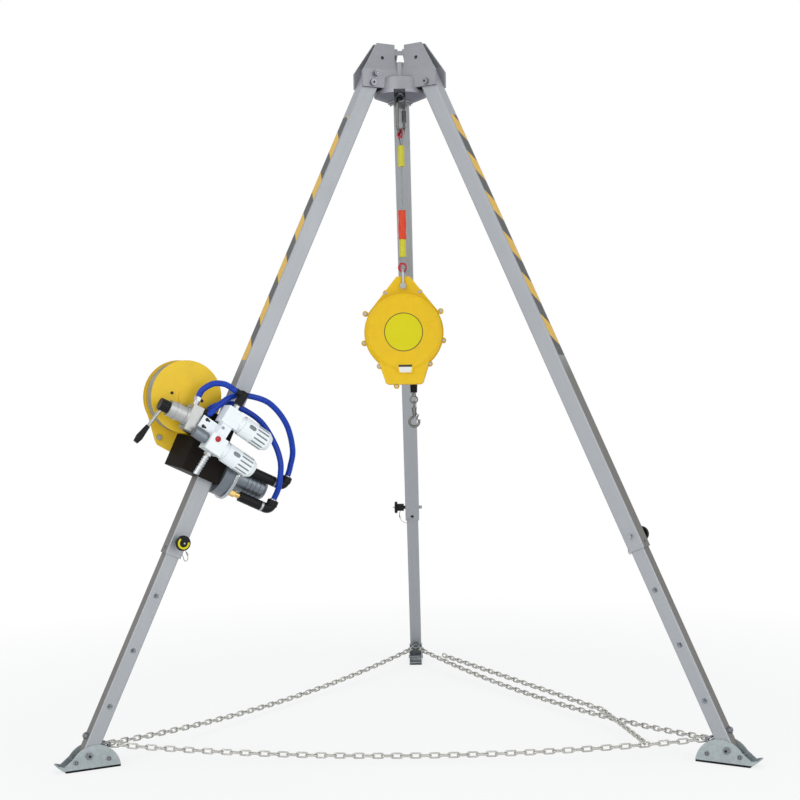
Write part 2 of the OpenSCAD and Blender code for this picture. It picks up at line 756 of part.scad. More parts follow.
// The spare end of the chain: hooked over a link of the front span, then lying on the right span
module chain_tail() {
  p = hook_point(LEFT, RIGHT);
  q = hook_point(RIGHT, LEFT);
  n = odd_count(norm(q - p), link_pitch);
  upright = 2 * round(tail_from * n / 2);
  wire = hang(p, q, chain_sag, (upright + 0.5) / n) + [0, 0, link_half];
  above = [0, 0, link_w + 2 * seat];
  turn = hang(hook_point(RIGHT, REAR), hook_point(REAR, RIGHT), chain_sag, tail_hang) + above;
  end = hang(hook_point(RIGHT, REAR), hook_point(REAR, RIGHT), chain_sag, tail_to) + above;
  start = wire - (link_wire / 2 + seat - link_gap / 2) * unit(turn - wire);
  n1 = odd_count(norm(turn - start), link_pitch) + 1;
  n2 = odd_count(norm(end - turn), link_pitch);
  chain_run(start, turn, 0, n1, 0, n1 - 1);
  chain_run(turn, end, 0, n2, 0, n2 - 1);
}

// Fall arrester
module in_carabiner() {
  rotate([0, 0, 90 - carabiner_turn]) children();
}

module half_ring(r, d, from, sweep) {
  rotate([90, 0, 0]) rotate([0, 0, from]) rotate_extrude(angle = sweep) translate([r, 0]) circle(d = d);
}

module carabiner() {
  high = carabiner_top - carabiner_r;
  low = carabiner_bottom + carabiner_r;
  color("#6d6f66") in_carabiner() {
    translate([0, 0, high]) half_ring(carabiner_r, carabiner_d, 0, 180);
    translate([0, 0, low]) half_ring(carabiner_r, carabiner_d, 180, 180);
    translate([-carabiner_r, 0, low]) cylinder(d = carabiner_d, h = high - low);
    translate([carabiner_r, 0, high - gate_stub]) cylinder(d = carabiner_d, h = gate_stub);
    translate([carabiner_r, 0, low]) cylinder(d = carabiner_d, h = gate_stub);
  }
}

module carabiner_gate() {
  pivot_z = carabiner_bottom + carabiner_r + gate_stub + gate_d / 2 + seat;
  length = carabiner_top - carabiner_r - gate_stub - 0.8 - pivot_z;
  color("#75776d") in_carabiner() translate([carabiner_r, 0, pivot_z]) {
    sphere(d = gate_d);
    cylinder(d = gate_d, h = length);
    translate([0, 0, 5]) cylinder(d = gate_d + 5, h = 18);
  }
}

// Rope round a thimble, its two legs drawn together into a sleeve
module sling_loop() {
  meet = [sling_d / 2 + 0.2, -sleeve_gap];
  lead = acos(loop_r / norm(meet)) + atan2(meet[1], meet[0]);
  half_ring(loop_r, sling_d, lead, 180 - 2 * lead);
  foot = [loop_r * cos(lead), loop_r * sin(lead)];
  way = meet - foot;
  for (turn = [0, 180]) rotate([0, 0, turn]) translate([foot[0], 0, foot[1]])
    rotate([0, atan2(way[0], way[1]), 0]) cylinder(d = sling_d, h = norm(way) + 5);
}

module sling_rope() {
  color("#a3a6a8") {
    translate([0, 0, thimble_top]) rotate([0, 0, upper_turn]) sling_loop();
    translate([0, 0, thimble_low]) rotate([0, 180, lower_turn]) sling_loop();
    translate([0, 0, thimble_low + sleeve_gap]) cylinder(d = sling_d, h = sling_len - 2 * sleeve_gap);
  }
}

module sling_sleeves() {
  high = thimble_top - sleeve_gap;
  low = thimble_low + sleeve_gap;
  color("#d2c83c") translate([0, 0, high - 66]) cylinder(d = 22, h = 66);
  color("#e5502a") translate([0, 0, low + 50 + seat]) cylinder(d = 27, h = 91);
  color("#d2c83c") translate([0, 0, low - 6]) cylinder(d = 22, h = 56);
}

module thimble() {
  rotate([90, 0, 0]) rotate_extrude() polygon([
    [thimble_hole, -thimble_half], [loop_r, -thimble_half], [loop_r, thimble_rim - thimble_half],
    [thimble_hole + thimble_wall, thimble_rim - thimble_half],
    [thimble_hole + thimble_wall, thimble_half - thimble_rim], [loop_r, thimble_half - thimble_rim],
    [loop_r, thimble_half], [thimble_hole, thimble_half]]);
}

module sling_thimbles() {
  color("#bd1c30") {
    translate([0, 0, thimble_top]) rotate([0, 0, upper_turn]) thimble();
    translate([0, 0, thimble_low]) rotate([0, 0, lower_turn]) thimble();
  }
}

module hanger_shackle() {
  color("#c9ccd0") {
    translate([0, 0, bow_z - shackle_r]) rotate([0, 0, 90]) half_ring(shackle_r, shackle_d, 0, 180);
    for (y = [-1, 1]) translate([0, y * shackle_r, hanger_z])
      cylinder(d = shackle_d, h = bow_z - shackle_r - hanger_z);
    translate([0, 0, hanger_z]) {
      for (turn = [0, 180]) rotate([0, 0, turn]) {
        translate([0, shackle_r - shackle_d / 2 - 0.5, 0]) along_v(2 * shackle_bolt_d, shackle_d + 1);
        translate([0, shackle_r + shackle_d / 2, 0]) hex_v(1.5 * shackle_bolt_d, 5);
      }
      across_v(shackle_bolt_d, 2 * shackle_r + shackle_d);
    }
  }
}

// Casing outline drawn in from the wall by a given amount, x to the right and y up
module apex_outline(in) {
  polygon([
    [-apex_half_w + in / 2, casing_top - in], [apex_half_w - in / 2, casing_top - in],
    [0.93 * (casing_r - in), 0.46 * (casing_r - in)], [-0.93 * (casing_r - in), 0.46 * (casing_r - in)]]);
}

module neck_outline(in) {
  polygon([
    [-neck_half_top + in, -neck_top + 2 * in], [neck_half_top - in, -neck_top + 2 * in],
    [neck_half_low - in, neck_corner - neck_bottom], [in - neck_half_low, neck_corner - neck_bottom]]);
  for (x = [-1, 1]) translate([x * (neck_half_low - neck_corner), neck_corner - neck_bottom])
    circle(r = neck_corner - in);
  translate([-neck_half_low + neck_corner, in - neck_bottom])
    square([2 * (neck_half_low - neck_corner), neck_corner]);
}

// One half of the casing, from the parting face at z = 0 towards +z
module casing_half() {
  deep = casing_depth / 2;
  difference() {
    union() {
      linear_extrude(height = apex_half_t) {
        apex_outline(0);
        circle(r = casing_r, $fn = 96);
        neck_outline(0);
      }
      cylinder(r = casing_r - 5, h = deep - dome_taper, $fn = 96);
      translate([0, 0, deep - dome_taper]) cylinder(r1 = casing_r - 5, r2 = casing_r - 15, h = dome_taper, $fn = 96);
      linear_extrude(height = neck_half_t) neck_outline(2);
      for (p = LUGS) translate(p) cylinder(r = lug_r, h = lug_t);
    }
    translate([0, 0, -over]) cylinder(r = casing_r - 5 - casing_wall, h = deep - casing_wall - dome_taper + over, $fn = 96);
    translate([0, 0, -over]) linear_extrude(height = neck_half_t - casing_wall + over) neck_outline(2 + casing_wall);
    translate([0, hanger_z - casing_z, -over]) cylinder(d = shackle_bolt_d + run_fit, h = deep);
    for (p = LUGS) translate([p[0], p[1], -over]) cylinder(d = screw_d + run_fit, h = deep);
    for (p = LUGS) translate([p[0], p[1], lug_t]) cylinder(d = 1.9 * screw_d + 2 * seat, h = deep);
    translate([line_x, -neck_bottom - over, 0]) rotate([-90, 0, 0]) cylinder(d = lifeline_d + 2, h = 60);
  }
  boss_z = deep - casing_wall - dome_taper;
  translate([0, 0, drum_gap + drum_flange_t + 8]) difference() {
    cylinder(d = axle_d + 16, h = boss_z - drum_gap - drum_flange_t - 8);
    translate([0, 0, -over]) cylinder(d = axle_d + run_fit, h = deep);
  }
}

module in_casing() {
  translate([0, 0, casing_z]) rotate([90, 0, 0]) children();
}

module casing_front() {
  color("#e4b81e") in_casing() casing_half();
}

module casing_rear() {
  color("#e0b31c") in_casing() mirror([0, 0, 1]) casing_half();
}

module casing_screws() {
  color("#b6b8ba") in_casing() for (p = LUGS) translate(p) {
    cylinder(d = screw_d, h = 2 * lug_t + 6, center = true);
    for (turn = [0, 180]) rotate([turn, 0, 0]) translate([0, 0, lug_t]) cylinder(d = 1.9 * screw_d, h = 4);
  }
}

module drum_axle() {
  color("#b6b8ba") in_casing() cylinder(d = axle_d, h = casing_depth - 2 * casing_wall - 2 * dome_taper, center = true);
}

module cable_drum() {
  color("#8f9296") in_casing() difference() {
    union() {
      cylinder(r = line_core_r, h = 2 * drum_gap, center = true);
      for (turn = [0, 180]) rotate([turn, 0, 0]) translate([0, 0, drum_gap]) {
        cylinder(r = drum_flange_r, h = drum_flange_t);
        cylinder(r = axle_d, h = drum_flange_t + 7);
      }
    }
    cylinder(d = axle_d + run_fit, h = casing_depth, center = true);
  }
}

module lifeline() {
  collar = line_eye_z + line_eye_r;
  color("#a3a6a8") translate([line_x, 0, 0]) {
    translate([0, 0, collar]) cylinder(d = lifeline_d, h = casing_z - collar);
    translate([0, 0, collar]) cylinder(d = 2.4 * lifeline_d, h = ferrule_len);
    translate([0, 0, line_eye_z]) rotate([90, 0, 0]) rotate_extrude()
      translate([line_eye_r, 0]) circle(d = line_eye_wire);
    translate([0, 0, hook_eye_z]) rotate([90, 0, 90]) rotate_extrude()
      translate([hook_eye_r, 0]) circle(d = hook_eye_wire);
    translate([0, 0, hook_top - swivel_len]) cylinder(d = swivel_d, h = hook_eye_z - hook_eye_r - hook_top + swivel_len);
    translate([0, 0, hook_top - swivel_len]) cylinder(d = swivel_d + 4, h = 4);
  }
}

module bumper() {
  color("#1d1d1f") translate([line_x, 0, bumper_z - bumper_len]) difference() {
    cylinder(d1 = bumper_d - 2, d2 = bumper_d, h = bumper_len);
    translate([0, 0, -over]) cylinder(d = lifeline_d + 2 * seat, h = bumper_len + 2 * over);
  }
}

module snap_hook() {
  color("#b4b3ae") translate([line_x, 0, 0]) {
    difference() {
      union() {
        translate([0, 0, hook_top - hook_neck]) cylinder(d1 = hook_wire, d2 = hook_wire + 9, h = hook_neck);
        translate([0, 0, hook_z + gate_base[1] + 4]) along_u(6, gate_base[0] - gate_wire / 2 - 0.6);
      }
      translate([0, 0, hook_top - swivel_len - 1]) cylinder(d = swivel_d + run_fit, h = hook_neck);
      translate([0, 0, hook_top - swivel_len - seat]) cylinder(d = swivel_d + 4 + run_fit, h = 4 + 2 * seat);
    }
    translate([0, 0, hook_z]) half_ring(hook_r, hook_wire, 90, 270);
    translate([hook_r, 0, hook_z]) cylinder(d = hook_wire, h = 7);
  }
}

module hook_gate() {
  way = gate_tip - gate_base;
  color("#9b9a95") translate([line_x + gate_base[0], 0, hook_z + gate_base[1]]) {
    across_v(gate_wire + 1, 8);
    rotate([0, atan2(way[0], way[1]), 0]) cylinder(d = gate_wire, h = norm(way));
  }
}

// Winch
module bracket_outline() {
  polygon([
    [bracket_in, bracket_rear], [bracket_out_rear, bracket_rear], [bracket_out_front, bracket_front],
    [bracket_in, bracket_front]]);
}

module winch_bracket() {
  hole = outer_w + 2 * bracket_fit;
  color("#1f1b19") in_leg(LEFT) {
    translate([0, 0, -bracket_drop]) linear_extrude(height = bracket_h) difference() {
      bracket_outline();
      soft_square(hole, corner_r);
      translate([bracket_in + 6, tube_half + 6]) square([tube_half - bracket_in - 6, bracket_front - tube_half - 12]);
    }
    plate_v(bracket_front - front_plate_t, front_plate_t) polygon([
      [front_plate_in, bracket_top - over], [bracket_out_front, bracket_top - over],
      [front_plate_out, bracket_top + 4], [front_plate_out, bracket_top + front_plate_rise - 14],
      [front_plate_out - 60, bracket_top + front_plate_rise],
      [front_plate_in, bracket_top + front_plate_rise]]);
  }
}

module winch_plate() {
  color("#dba91e") in_leg(LEFT) {
    plate_v(bracket_rear - side_plate_t, side_plate_t) difference() {
      union() {
        translate([drum_u, drum_w]) circle(r = flange_r + 2, $fn = 96);
        polygon([
          [60, drum_w - 60], [drum_u + 70, drum_w - 80], [drum_u + 16, bracket_top - 44], [drum_u + 4, bracket_top - 54],
          [70, bracket_top - 60], [60, bracket_top - 50]]);
      }
      translate([drum_u, drum_w]) circle(d = shaft_d + run_fit);
    }
    for (p = [[75, bracket_top - 40], [95, bracket_top - 20], [drum_u - 4, bracket_top - 40]])
      translate([p[0], bracket_rear - side_plate_t, p[1]]) rotate([0, 0, 180]) hex_v(14, 6);
  }
}

module rope_drum() {
  color("#e0b425") in_leg(LEFT) translate([drum_u, 0, drum_w]) {
    translate([0, drum_rear, 0]) along_v(2 * core_r, drum_front - drum_rear);
    for (v = [drum_rear, drum_front - drum_flange_plate]) translate([0, v, 0]) along_v(2 * flange_r, drum_flange_plate);
    translate([0, drum_front, 0]) along_v(52, 4);
    translate([0, bracket_rear - side_plate_t - 14, 0]) along_v(shaft_d, drum_rear - bracket_rear + side_plate_t + 15);
    translate([0, bracket_rear - side_plate_t - 10, 0]) along_v(shaft_d + 12, 9.5);
  }
}

// Outer layer of rope: one helix between the flanges, with straight ends
rope_pitch = (drum_front - drum_rear - 2 * drum_flange_plate - rope_d - 1) / rope_loops;
ROPE_STEPS = 24;
rope_r = (core_r + seat + rope_d / 2) / cos(180 / ROPE_STEPS);
function rope_at(i) = [
  rope_r * cos(360 * i / ROPE_STEPS),
  drum_rear + drum_flange_plate + rope_d / 2 + 0.5 + rope_pitch * i / ROPE_STEPS,
  rope_r * sin(360 * i / ROPE_STEPS)];
ROPE_TURNS = [for (i = [0 : rope_loops * ROPE_STEPS]) rope_at(i)];
rope_last = len(ROPE_TURNS) - 1;
ROPE = concat(
  [ROPE_TURNS[0] - rope_d * unit(ROPE_TURNS[1] - ROPE_TURNS[0])], ROPE_TURNS,
  [ROPE_TURNS[rope_last] + rope_d * unit(ROPE_TURNS[rope_last] - ROPE_TURNS[rope_last - 1])]);
rope_self_gap = min([for (i = [0 : rope_last], j = [i + 12 : 1 : rope_last]) norm(ROPE_TURNS[i] - ROPE_TURNS[j])]) - rope_d;
echo(rope_self_gap = rope_self_gap);

module rope_winding() {
  color("#8d8a7c") in_leg(LEFT) translate([drum_u, 0, drum_w]) swept_tube(ROPE, rope_d, 6, [0, 1, 0]);
}

module air_motor() {
  color("#8b9298") in_leg(LEFT) translate([bracket_in, 0, motor_w]) rotate([0, 0, 180]) {
    along_u(2 * gear_case_r, gear_case_len);
    translate([gear_case_len, 0, 0]) along_u(2 * gear_rim_r, gear_rim_t);
    translate([gear_case_len + gear_rim_t, 0, 0]) rotate([0, 90, 0]) {
      cylinder(r1 = motor_r + 4, r2 = motor_r, h = 14);
      cylinder(r = motor_r, h = motor_len - 12);
      for (i = [0 : 3]) translate([0, 0, 46 + 14 * i]) cylinder(r = motor_r + 2, h = 6);
      translate([0, 0, motor_len - 12]) cylinder(r1 = motor_r, r2 = motor_r - 8, h = 12);
    }
  }
}

module valve_body() {
  color("#b7b8b6") in_leg(LEFT) {
    translate([valve_block_u, bracket_front, valve_w - valve_block_w / 2])
      cube([valve_block_len, valve_block_v, valve_block_w]);
    translate([valve_block_u + valve_block_len, valve_v, valve_w]) {
      along_u(2 * valve_r, valve_len);
      along_u(2 * valve_r + 6, 8);
      translate([30, 0, 0]) along_u(2 * valve_r + 4, 10);
    }
    for (w = [-1, 1]) translate([valve_block_u + valve_block_len, bracket_front + 12, valve_w + w * (valve_block_w / 2 - 8)])
      along_u(10, 6);
  }
}

module valve_lever() {
  hub_u = valve_block_u + valve_block_len + valve_len + seat;
  color("#202022") in_leg(LEFT) translate([hub_u, valve_v, valve_w]) {
    along_u(2 * hub_r, hub_len);
    translate([hub_len / 2, 0, 0]) rotate([0, 180 - lever_lean, 0]) {
      cylinder(d = lever_d, h = hub_r + lever_len);
      translate([0, 0, hub_r + lever_len - 4]) cylinder(d1 = 13, d2 = 21, h = lever_grip_len * 0.7);
      translate([0, 0, hub_r + lever_len - 4 + lever_grip_len * 0.7]) cylinder(d1 = 21, d2 = 14, h = lever_grip_len * 0.3);
    }
  }
}

module in_units() {
  in_leg(LEFT) translate([unit_u, unit_v, unit_w]) rotate([0, unit_tilt, 0]) children();
}

module filter_unit() {
  translate([-unit_body / 2, -unit_body / 2, -unit_body / 2]) cube([unit_body, unit_body, unit_body]);
  translate([-unit_body / 2 - bowl_collar, 0, 0]) along_u(2 * bowl_unit_r - bowl_ease, bowl_collar);
  translate([-unit_body / 2 - bowl_collar - seat, 0, 0]) rotate([0, -90, 0]) {
    cylinder(r = bowl_unit_r, h = bowl_len - bowl_collar);
    translate([0, 0, bowl_len - bowl_collar])
      cylinder(r1 = bowl_unit_r, r2 = bowl_unit_r - bowl_ease, h = bowl_collar);
  }
}

module filter_units() {
  color("#e9eef0") in_units() {
    filter_unit();
    translate([0, 0, unit_pitch]) filter_unit();
    translate([-bridge_u / 2, -bridge_v / 2, unit_body / 2]) cube([bridge_u, bridge_v, unit_pitch - unit_body]);
    translate([mount_plate_u, mount_plate_v, mount_w]) difference() {
      cube(mount_plate);
      for (w = mount_hole_w) translate([mount_hole_u, 0, w]) across_v(mount_hole_d, 4 * mount_plate[1]);
    }
    for (w = mount_hole_w) translate([mount_plate_u + mount_hole_u, bracket_front - unit_v, mount_w + w])
      along_v(post_d, unit_v - bracket_front + mount_plate_v - seat);
  }
}

module regulator_knob() {
  color("#8e9192") in_units() translate([unit_body / 2 + seat, 0, 0]) {
    along_u(2 * knob_r - 8, 8);
    translate([8, 0, 0]) rotate([0, 90, 0]) cylinder(r1 = knob_r, r2 = knob_r - 1.5, h = knob_len - 8);
  }
}

// Elbow that takes a pipe along -u and turns it up the leg
module port_elbow() {
  translate([0, 0, elbow_bend]) half_ring(elbow_bend, elbow_d, 180, 90);
  translate([-elbow_bend, 0, elbow_bend]) cylinder(d = elbow_d, h = elbow_rise / 3);
  translate([-elbow_bend, 0, elbow_bend + elbow_rise / 3]) cylinder(d = elbow_d + 3, h = 2 * elbow_rise / 3);
}

module black_fittings() {
  color("#1f1f22") in_leg(LEFT) {
    for (i = [0, 1]) translate([motor_face - nipple_len[i], port_v, port_w[i]]) {
      translate([-sleeve_len[i], 0, 0]) along_u(elbow_d, sleeve_len[i]);
      translate([-sleeve_len[i] + 8, 0, 0]) along_u(elbow_d + sleeve_grip, sleeve_len[i] - elbow_d);
      translate([-sleeve_len[i], 0, 0]) port_elbow();
    }
    for (v = hose_port_v) translate([valve_block_u - hose_port_len, v, hose_port_w]) along_u(elbow_d + 2, hose_port_len);
  }
  color("#1f1f22") in_units() {
    translate([0, 0, unit_pitch + unit_body / 2 + outlet_hex_len])
      cylinder(d = elbow_d + 2 * sleeve_grip, h = outlet_cap_len);
    translate([0, 0, outlet_w]) along_u(elbow_d, outlet_len);
  }
}

module metal_nipples() {
  color("#c9a860") in_leg(LEFT) for (i = [0, 1]) translate([motor_face, port_v, port_w[i]]) rotate([0, 0, 180]) {
    along_u(port_nipple_d, nipple_len[i]);
    rotate([0, 90, 0]) cylinder(d = port_hex, h = nipple_len[i] / 2, $fn = 6);
  }
  color("#c4c7ca") in_units() {
    translate([0, 0, -unit_body / 2 - inlet_len]) {
      cylinder(d = inlet_d, h = inlet_len);
      for (i = [0 : 3]) translate([0, 0, (i + 0.25) * inlet_barb_pitch])
        cylinder(d1 = inlet_barb_d - 3, d2 = inlet_barb_d, h = 0.75 * inlet_barb_pitch);
      translate([0, 0, inlet_len - inlet_hex_len]) cylinder(d = inlet_hex, h = inlet_hex_len, $fn = 6);
    }
    translate([0, 0, unit_pitch + unit_body / 2]) cylinder(d = outlet_hex, h = outlet_hex_len, $fn = 6);
  }
  color("#c4c7ca") in_leg(LEFT) translate([supply_u, valve_v, valve_w + valve_block_w / 2]) {
    cylinder(d = outlet_hex, h = supply_stem_len);
    translate([0, 0, supply_stem_len]) cylinder(d = port_hex, h = supply_hex_len, $fn = 6);
  }
}

module air_hoses() {
  color("#1c3fb0") in_leg(LEFT) for (route = HOSES) swept_tube(smooth(route, 2), hose_d, 10, [0, 1, 0.2]);
}

module right_chain() {
  leg_chain(RIGHT);
  color("#98968f") chain_tail();
}

head_casting();
head_pins();
eye_bolt();
lock_pin(LEFT);  // lock_pin_left
lock_pin(RIGHT);  // lock_pin_right
lock_pin(REAR);  // lock_pin_rear
upper_tube(LEFT);  // upper_tube_left
upper_tube(RIGHT);  // upper_tube_right
upper_tube(REAR);  // upper_tube_rear
lower_tube(LEFT);  // lower_tube_left
lower_tube(RIGHT);  // lower_tube_right
lower_tube(REAR);  // lower_tube_rear
chain_eye(LEFT);  // chain_eye_left
chain_eye(RIGHT);  // chain_eye_right
chain_eye(REAR);  // chain_eye_rear
foot_shoe(LEFT);  // foot_shoe_left
foot_shoe(RIGHT);  // foot_shoe_right
foot_shoe(REAR);  // foot_shoe_rear
foot_pad(LEFT);  // foot_pad_left
foot_pad(RIGHT);  // foot_pad_right
foot_pad(REAR);  // foot_pad_rear
foot_pins(LEFT);  // foot_pins_left
foot_pins(RIGHT);  // foot_pins_right
foot_pins(REAR);  // foot_pins_rear
adjusting_pin(LEFT);  // adjusting_pin_left
adjusting_pin(RIGHT);  // adjusting_pin_right
adjusting_pin(REAR);  // adjusting_pin_rear
pin_button(LEFT);  // pin_button_left
pin_button(RIGHT);  // pin_button_right
pin_button(REAR);  // pin_button_rear
leg_chain(LEFT);  // chain_left
right_chain();  // chain_right
leg_chain(REAR);  // chain_rear
carabiner();
carabiner_gate();
sling_rope();
sling_sleeves();
sling_thimbles();
hanger_shackle();
casing_front();
casing_rear();
casing_screws();
cable_drum();
drum_axle();
lifeline();
bumper();
snap_hook();
hook_gate();
winch_bracket();
winch_plate();
rope_drum();
rope_winding();
air_motor();
valve_body();
valve_lever();
filter_units();
regulator_knob();
black_fittings();
metal_nipples();
air_hoses();
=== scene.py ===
"""Looks of a rescue tripod: camera, light, finishes, and the pieces that the solids leave out.

Sizes are in millimetres unless a docstring says otherwise. Meshes are in metres, in the row frame.
"""

from __future__ import annotations

import json
import logging
import math
from collections import defaultdict
from dataclasses import dataclass, field
from enum import Enum
from typing import Callable, Sequence

import bpy
from mathutils import Matrix, Vector

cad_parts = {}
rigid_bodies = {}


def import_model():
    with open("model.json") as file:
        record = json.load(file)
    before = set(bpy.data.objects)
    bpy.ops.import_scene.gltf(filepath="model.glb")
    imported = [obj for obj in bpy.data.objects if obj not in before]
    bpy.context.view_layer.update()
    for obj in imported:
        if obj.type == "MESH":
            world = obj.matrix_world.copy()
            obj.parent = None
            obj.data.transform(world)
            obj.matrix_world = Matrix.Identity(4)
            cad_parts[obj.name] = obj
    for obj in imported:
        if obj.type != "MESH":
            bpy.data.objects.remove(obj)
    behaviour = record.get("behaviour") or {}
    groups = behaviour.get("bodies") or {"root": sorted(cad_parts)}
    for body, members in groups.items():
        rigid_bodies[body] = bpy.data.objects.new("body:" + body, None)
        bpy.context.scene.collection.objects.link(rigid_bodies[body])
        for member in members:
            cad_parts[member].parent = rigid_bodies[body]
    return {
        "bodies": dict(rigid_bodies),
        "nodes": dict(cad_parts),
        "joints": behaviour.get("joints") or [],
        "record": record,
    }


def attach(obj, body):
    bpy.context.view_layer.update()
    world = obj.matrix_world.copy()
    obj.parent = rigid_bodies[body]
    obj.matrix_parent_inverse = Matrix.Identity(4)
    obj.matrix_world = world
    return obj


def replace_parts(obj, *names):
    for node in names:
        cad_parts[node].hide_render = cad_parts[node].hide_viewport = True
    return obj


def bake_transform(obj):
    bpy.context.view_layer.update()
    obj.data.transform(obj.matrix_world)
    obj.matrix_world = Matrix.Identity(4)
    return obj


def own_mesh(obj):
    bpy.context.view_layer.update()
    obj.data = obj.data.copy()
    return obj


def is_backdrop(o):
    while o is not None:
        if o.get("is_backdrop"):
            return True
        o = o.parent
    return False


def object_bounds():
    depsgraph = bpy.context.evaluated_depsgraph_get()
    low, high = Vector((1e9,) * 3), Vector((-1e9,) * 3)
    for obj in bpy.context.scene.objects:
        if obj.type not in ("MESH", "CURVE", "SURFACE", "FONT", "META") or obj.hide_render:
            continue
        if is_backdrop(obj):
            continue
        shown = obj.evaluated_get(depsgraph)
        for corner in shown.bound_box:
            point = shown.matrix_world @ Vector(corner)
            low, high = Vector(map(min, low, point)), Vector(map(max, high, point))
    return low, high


LOG = logging.getLogger("tripod")
MM = 0.001
# Angles in degrees up to which edges are smooth: by default, on crisp small forms and on soft ones.
SMOOTH, CRISP, SOFT = 40.0, 20.0, 50.0
# Gap between a thin piece and the face that it lies on.
LIFT = 0.02
SIDES = ("left", "right", "rear")
ORIGIN = Matrix.Identity(4)
Socket = bpy.types.NodeSocket
Colour = tuple[float, float, float]
Pairs = Sequence[tuple[float, float]]
Shading = tuple[object, object, object]


def linear(srgb: Sequence[float]) -> tuple[float, float, float, float]:
    """Turn an 8-bit display colour into linear light.

    Args:
        srgb: red, green and blue from 0 to 255.

    Returns:
        Linear red, green and blue, and an alpha of one.
    """
    shares = [c / 255.0 for c in srgb]
    r, g, b = (c / 12.92 if c <= 0.04045 else ((c + 0.055) / 1.055) ** 2.4 for c in shares)
    return r, g, b, 1.0


def move(x: float, y: float, z: float) -> Matrix:
    """Matrix of a shift."""
    return Matrix.Translation((x * MM, y * MM, z * MM))


def spin(degrees: float, axis: str) -> Matrix:
    """Matrix of a turn about an axis through the origin."""
    return Matrix.Rotation(math.radians(degrees), 4, axis)


# Turns that point a form's Z axis to the +Y side and to the -Y side.
FACING = {1: spin(-90.0, "X"), -1: spin(90.0, "X")}


@dataclass(frozen=True)
class Leg:
    """One leg and the frame that its pieces are placed in: u outward, v across, w up the tube."""

    name: str
    azimuth: float
    tilt: float = 25.1
    pivot_r: float = 114.0
    pivot_h: float = 2005.085

    @property
    def turn(self) -> Matrix:
        """Turn from the X axis to the leg's own side."""
        return spin(self.azimuth, "Z")

    @property
    def frame(self) -> Matrix:
        """Matrix from the leg's u, v, w in metres to the row frame."""
        return self.turn @ move(self.pivot_r, 0.0, self.pivot_h) @ spin(-self.tilt, "Y")

    def at(self, u: float, v: float, w: float) -> Vector:
        """Row-frame place of a point of the leg, in metres."""
        return self.frame @ Vector((u * MM, v * MM, w * MM))


LEGS = {name: Leg(name, azimuth) for name, azimuth in zip(SIDES, (210.0, 330.0, 90.0))}


class Grain(Enum):
    """What the surface of a finish shows close up."""

    CAST = "cast"
    BRUSHED = "brushed"
    ENAMEL = "enamel"
    RUBBER = "rubber"
    MOULDED = "moulded"
    PLATED = "plated"
    STRAND = "strand"
    HOSE = "hose"
    STRIPES = "stripes"


@dataclass(frozen=True)
class Finish:
    """A finish: its colour, gloss and grain.

    The second colour shows on the outer side of a leg's pieces, as painted shade on a leg tube's outer face
    below its tape, on the dark stripes of a tape, or, where no leg is named, as painted shade on the surfaces
    that look down.
    """

    name: str
    srgb: Colour
    grain: Grain
    roughness: float = 0.45
    metallic: float = 0.0
    coat: float = 0.0
    scale: float = 120.0
    bump: float = 0.12
    spread: float = 0.10
    second: Colour | None = None
    leg: str | None = None
    specular: float = 0.22
    shift: float = 0.0


class Nodes:
    """A thin wrapper that adds and joins nodes."""

    prefix = "GeometryNode"

    def __init__(self, tree: bpy.types.NodeTree) -> None:
        """Start from an empty tree."""
        self.tree = tree
        tree.nodes.clear()

    def add(self, kind: str, inputs: dict | None = None, **props: object) -> bpy.types.Node:
        """Add a node.

        Args:
            kind: the node's type, whole or without the prefix of its family.
            inputs: values or sockets for its inputs, by name or index.
            props: properties of the node.

        Returns:
            The new node.
        """
        node = self.tree.nodes.new(kind if "Node" in kind else self.prefix + kind)
        for name, value in props.items():
            setattr(node, name, value)
        for key, value in (inputs or {}).items():
            if isinstance(value, Socket):
                self.tree.links.new(value, node.inputs[key])
            else:
                node.inputs[key].default_value = value
        return node


class Shader(Nodes):
    """The shader tree of a material or of the world."""

    prefix = "ShaderNode"

    def __init__(self, owner: bpy.types.Material | bpy.types.World) -> None:
        """Start from an empty tree."""
        owner.use_nodes = True
        super().__init__(owner.node_tree)

    def math(self, kind: str, a: object, b: object = 0.0, c: object = 0.0) -> Socket:
        """Result of a Math node."""
        return self.add("Math", {0: a, 1: b, 2: c}, operation=kind).outputs[0]

    def mix(self, factor: object, a: object, b: object) -> Socket:
        """Colour mixed from a to b by factor."""
        return self.add("Mix", {0: factor, 6: a, 7: b}, data_type="RGBA").outputs[2]

    def ramp(self, value: object, low: float, high: float, a: float = 0.0, b: float = 1.0) -> Socket:
        """Value mapped from low..high to a..b, clamped."""
        return self.add("MapRange", {0: value, 1: low, 2: high, 3: a, 4: b}).outputs[0]

    def here(self) -> Socket:
        """Object coordinates."""
        return self.add("TexCoord").outputs["Object"]

    def noise(self, coords: Socket, scale: float, detail: float) -> Socket:
        """Noise over coordinates."""
        return self.add("TexNoise", {"Vector": coords, "Scale": scale, "Detail": detail}).outputs[0]

    def split(self, vector: Socket) -> Sequence[Socket]:
        """The three parts of a vector."""
        return self.add("SeparateXYZ", {0: vector}).outputs

    def facing(self, way: Vector) -> Socket:
        """How far the surface faces a direction, from -1 to 1."""
        normal = self.add("NewGeometry").outputs["Normal"]
        return self.add("VectorMath", {0: normal, 1: way}, operation="DOT_PRODUCT").outputs["Value"]


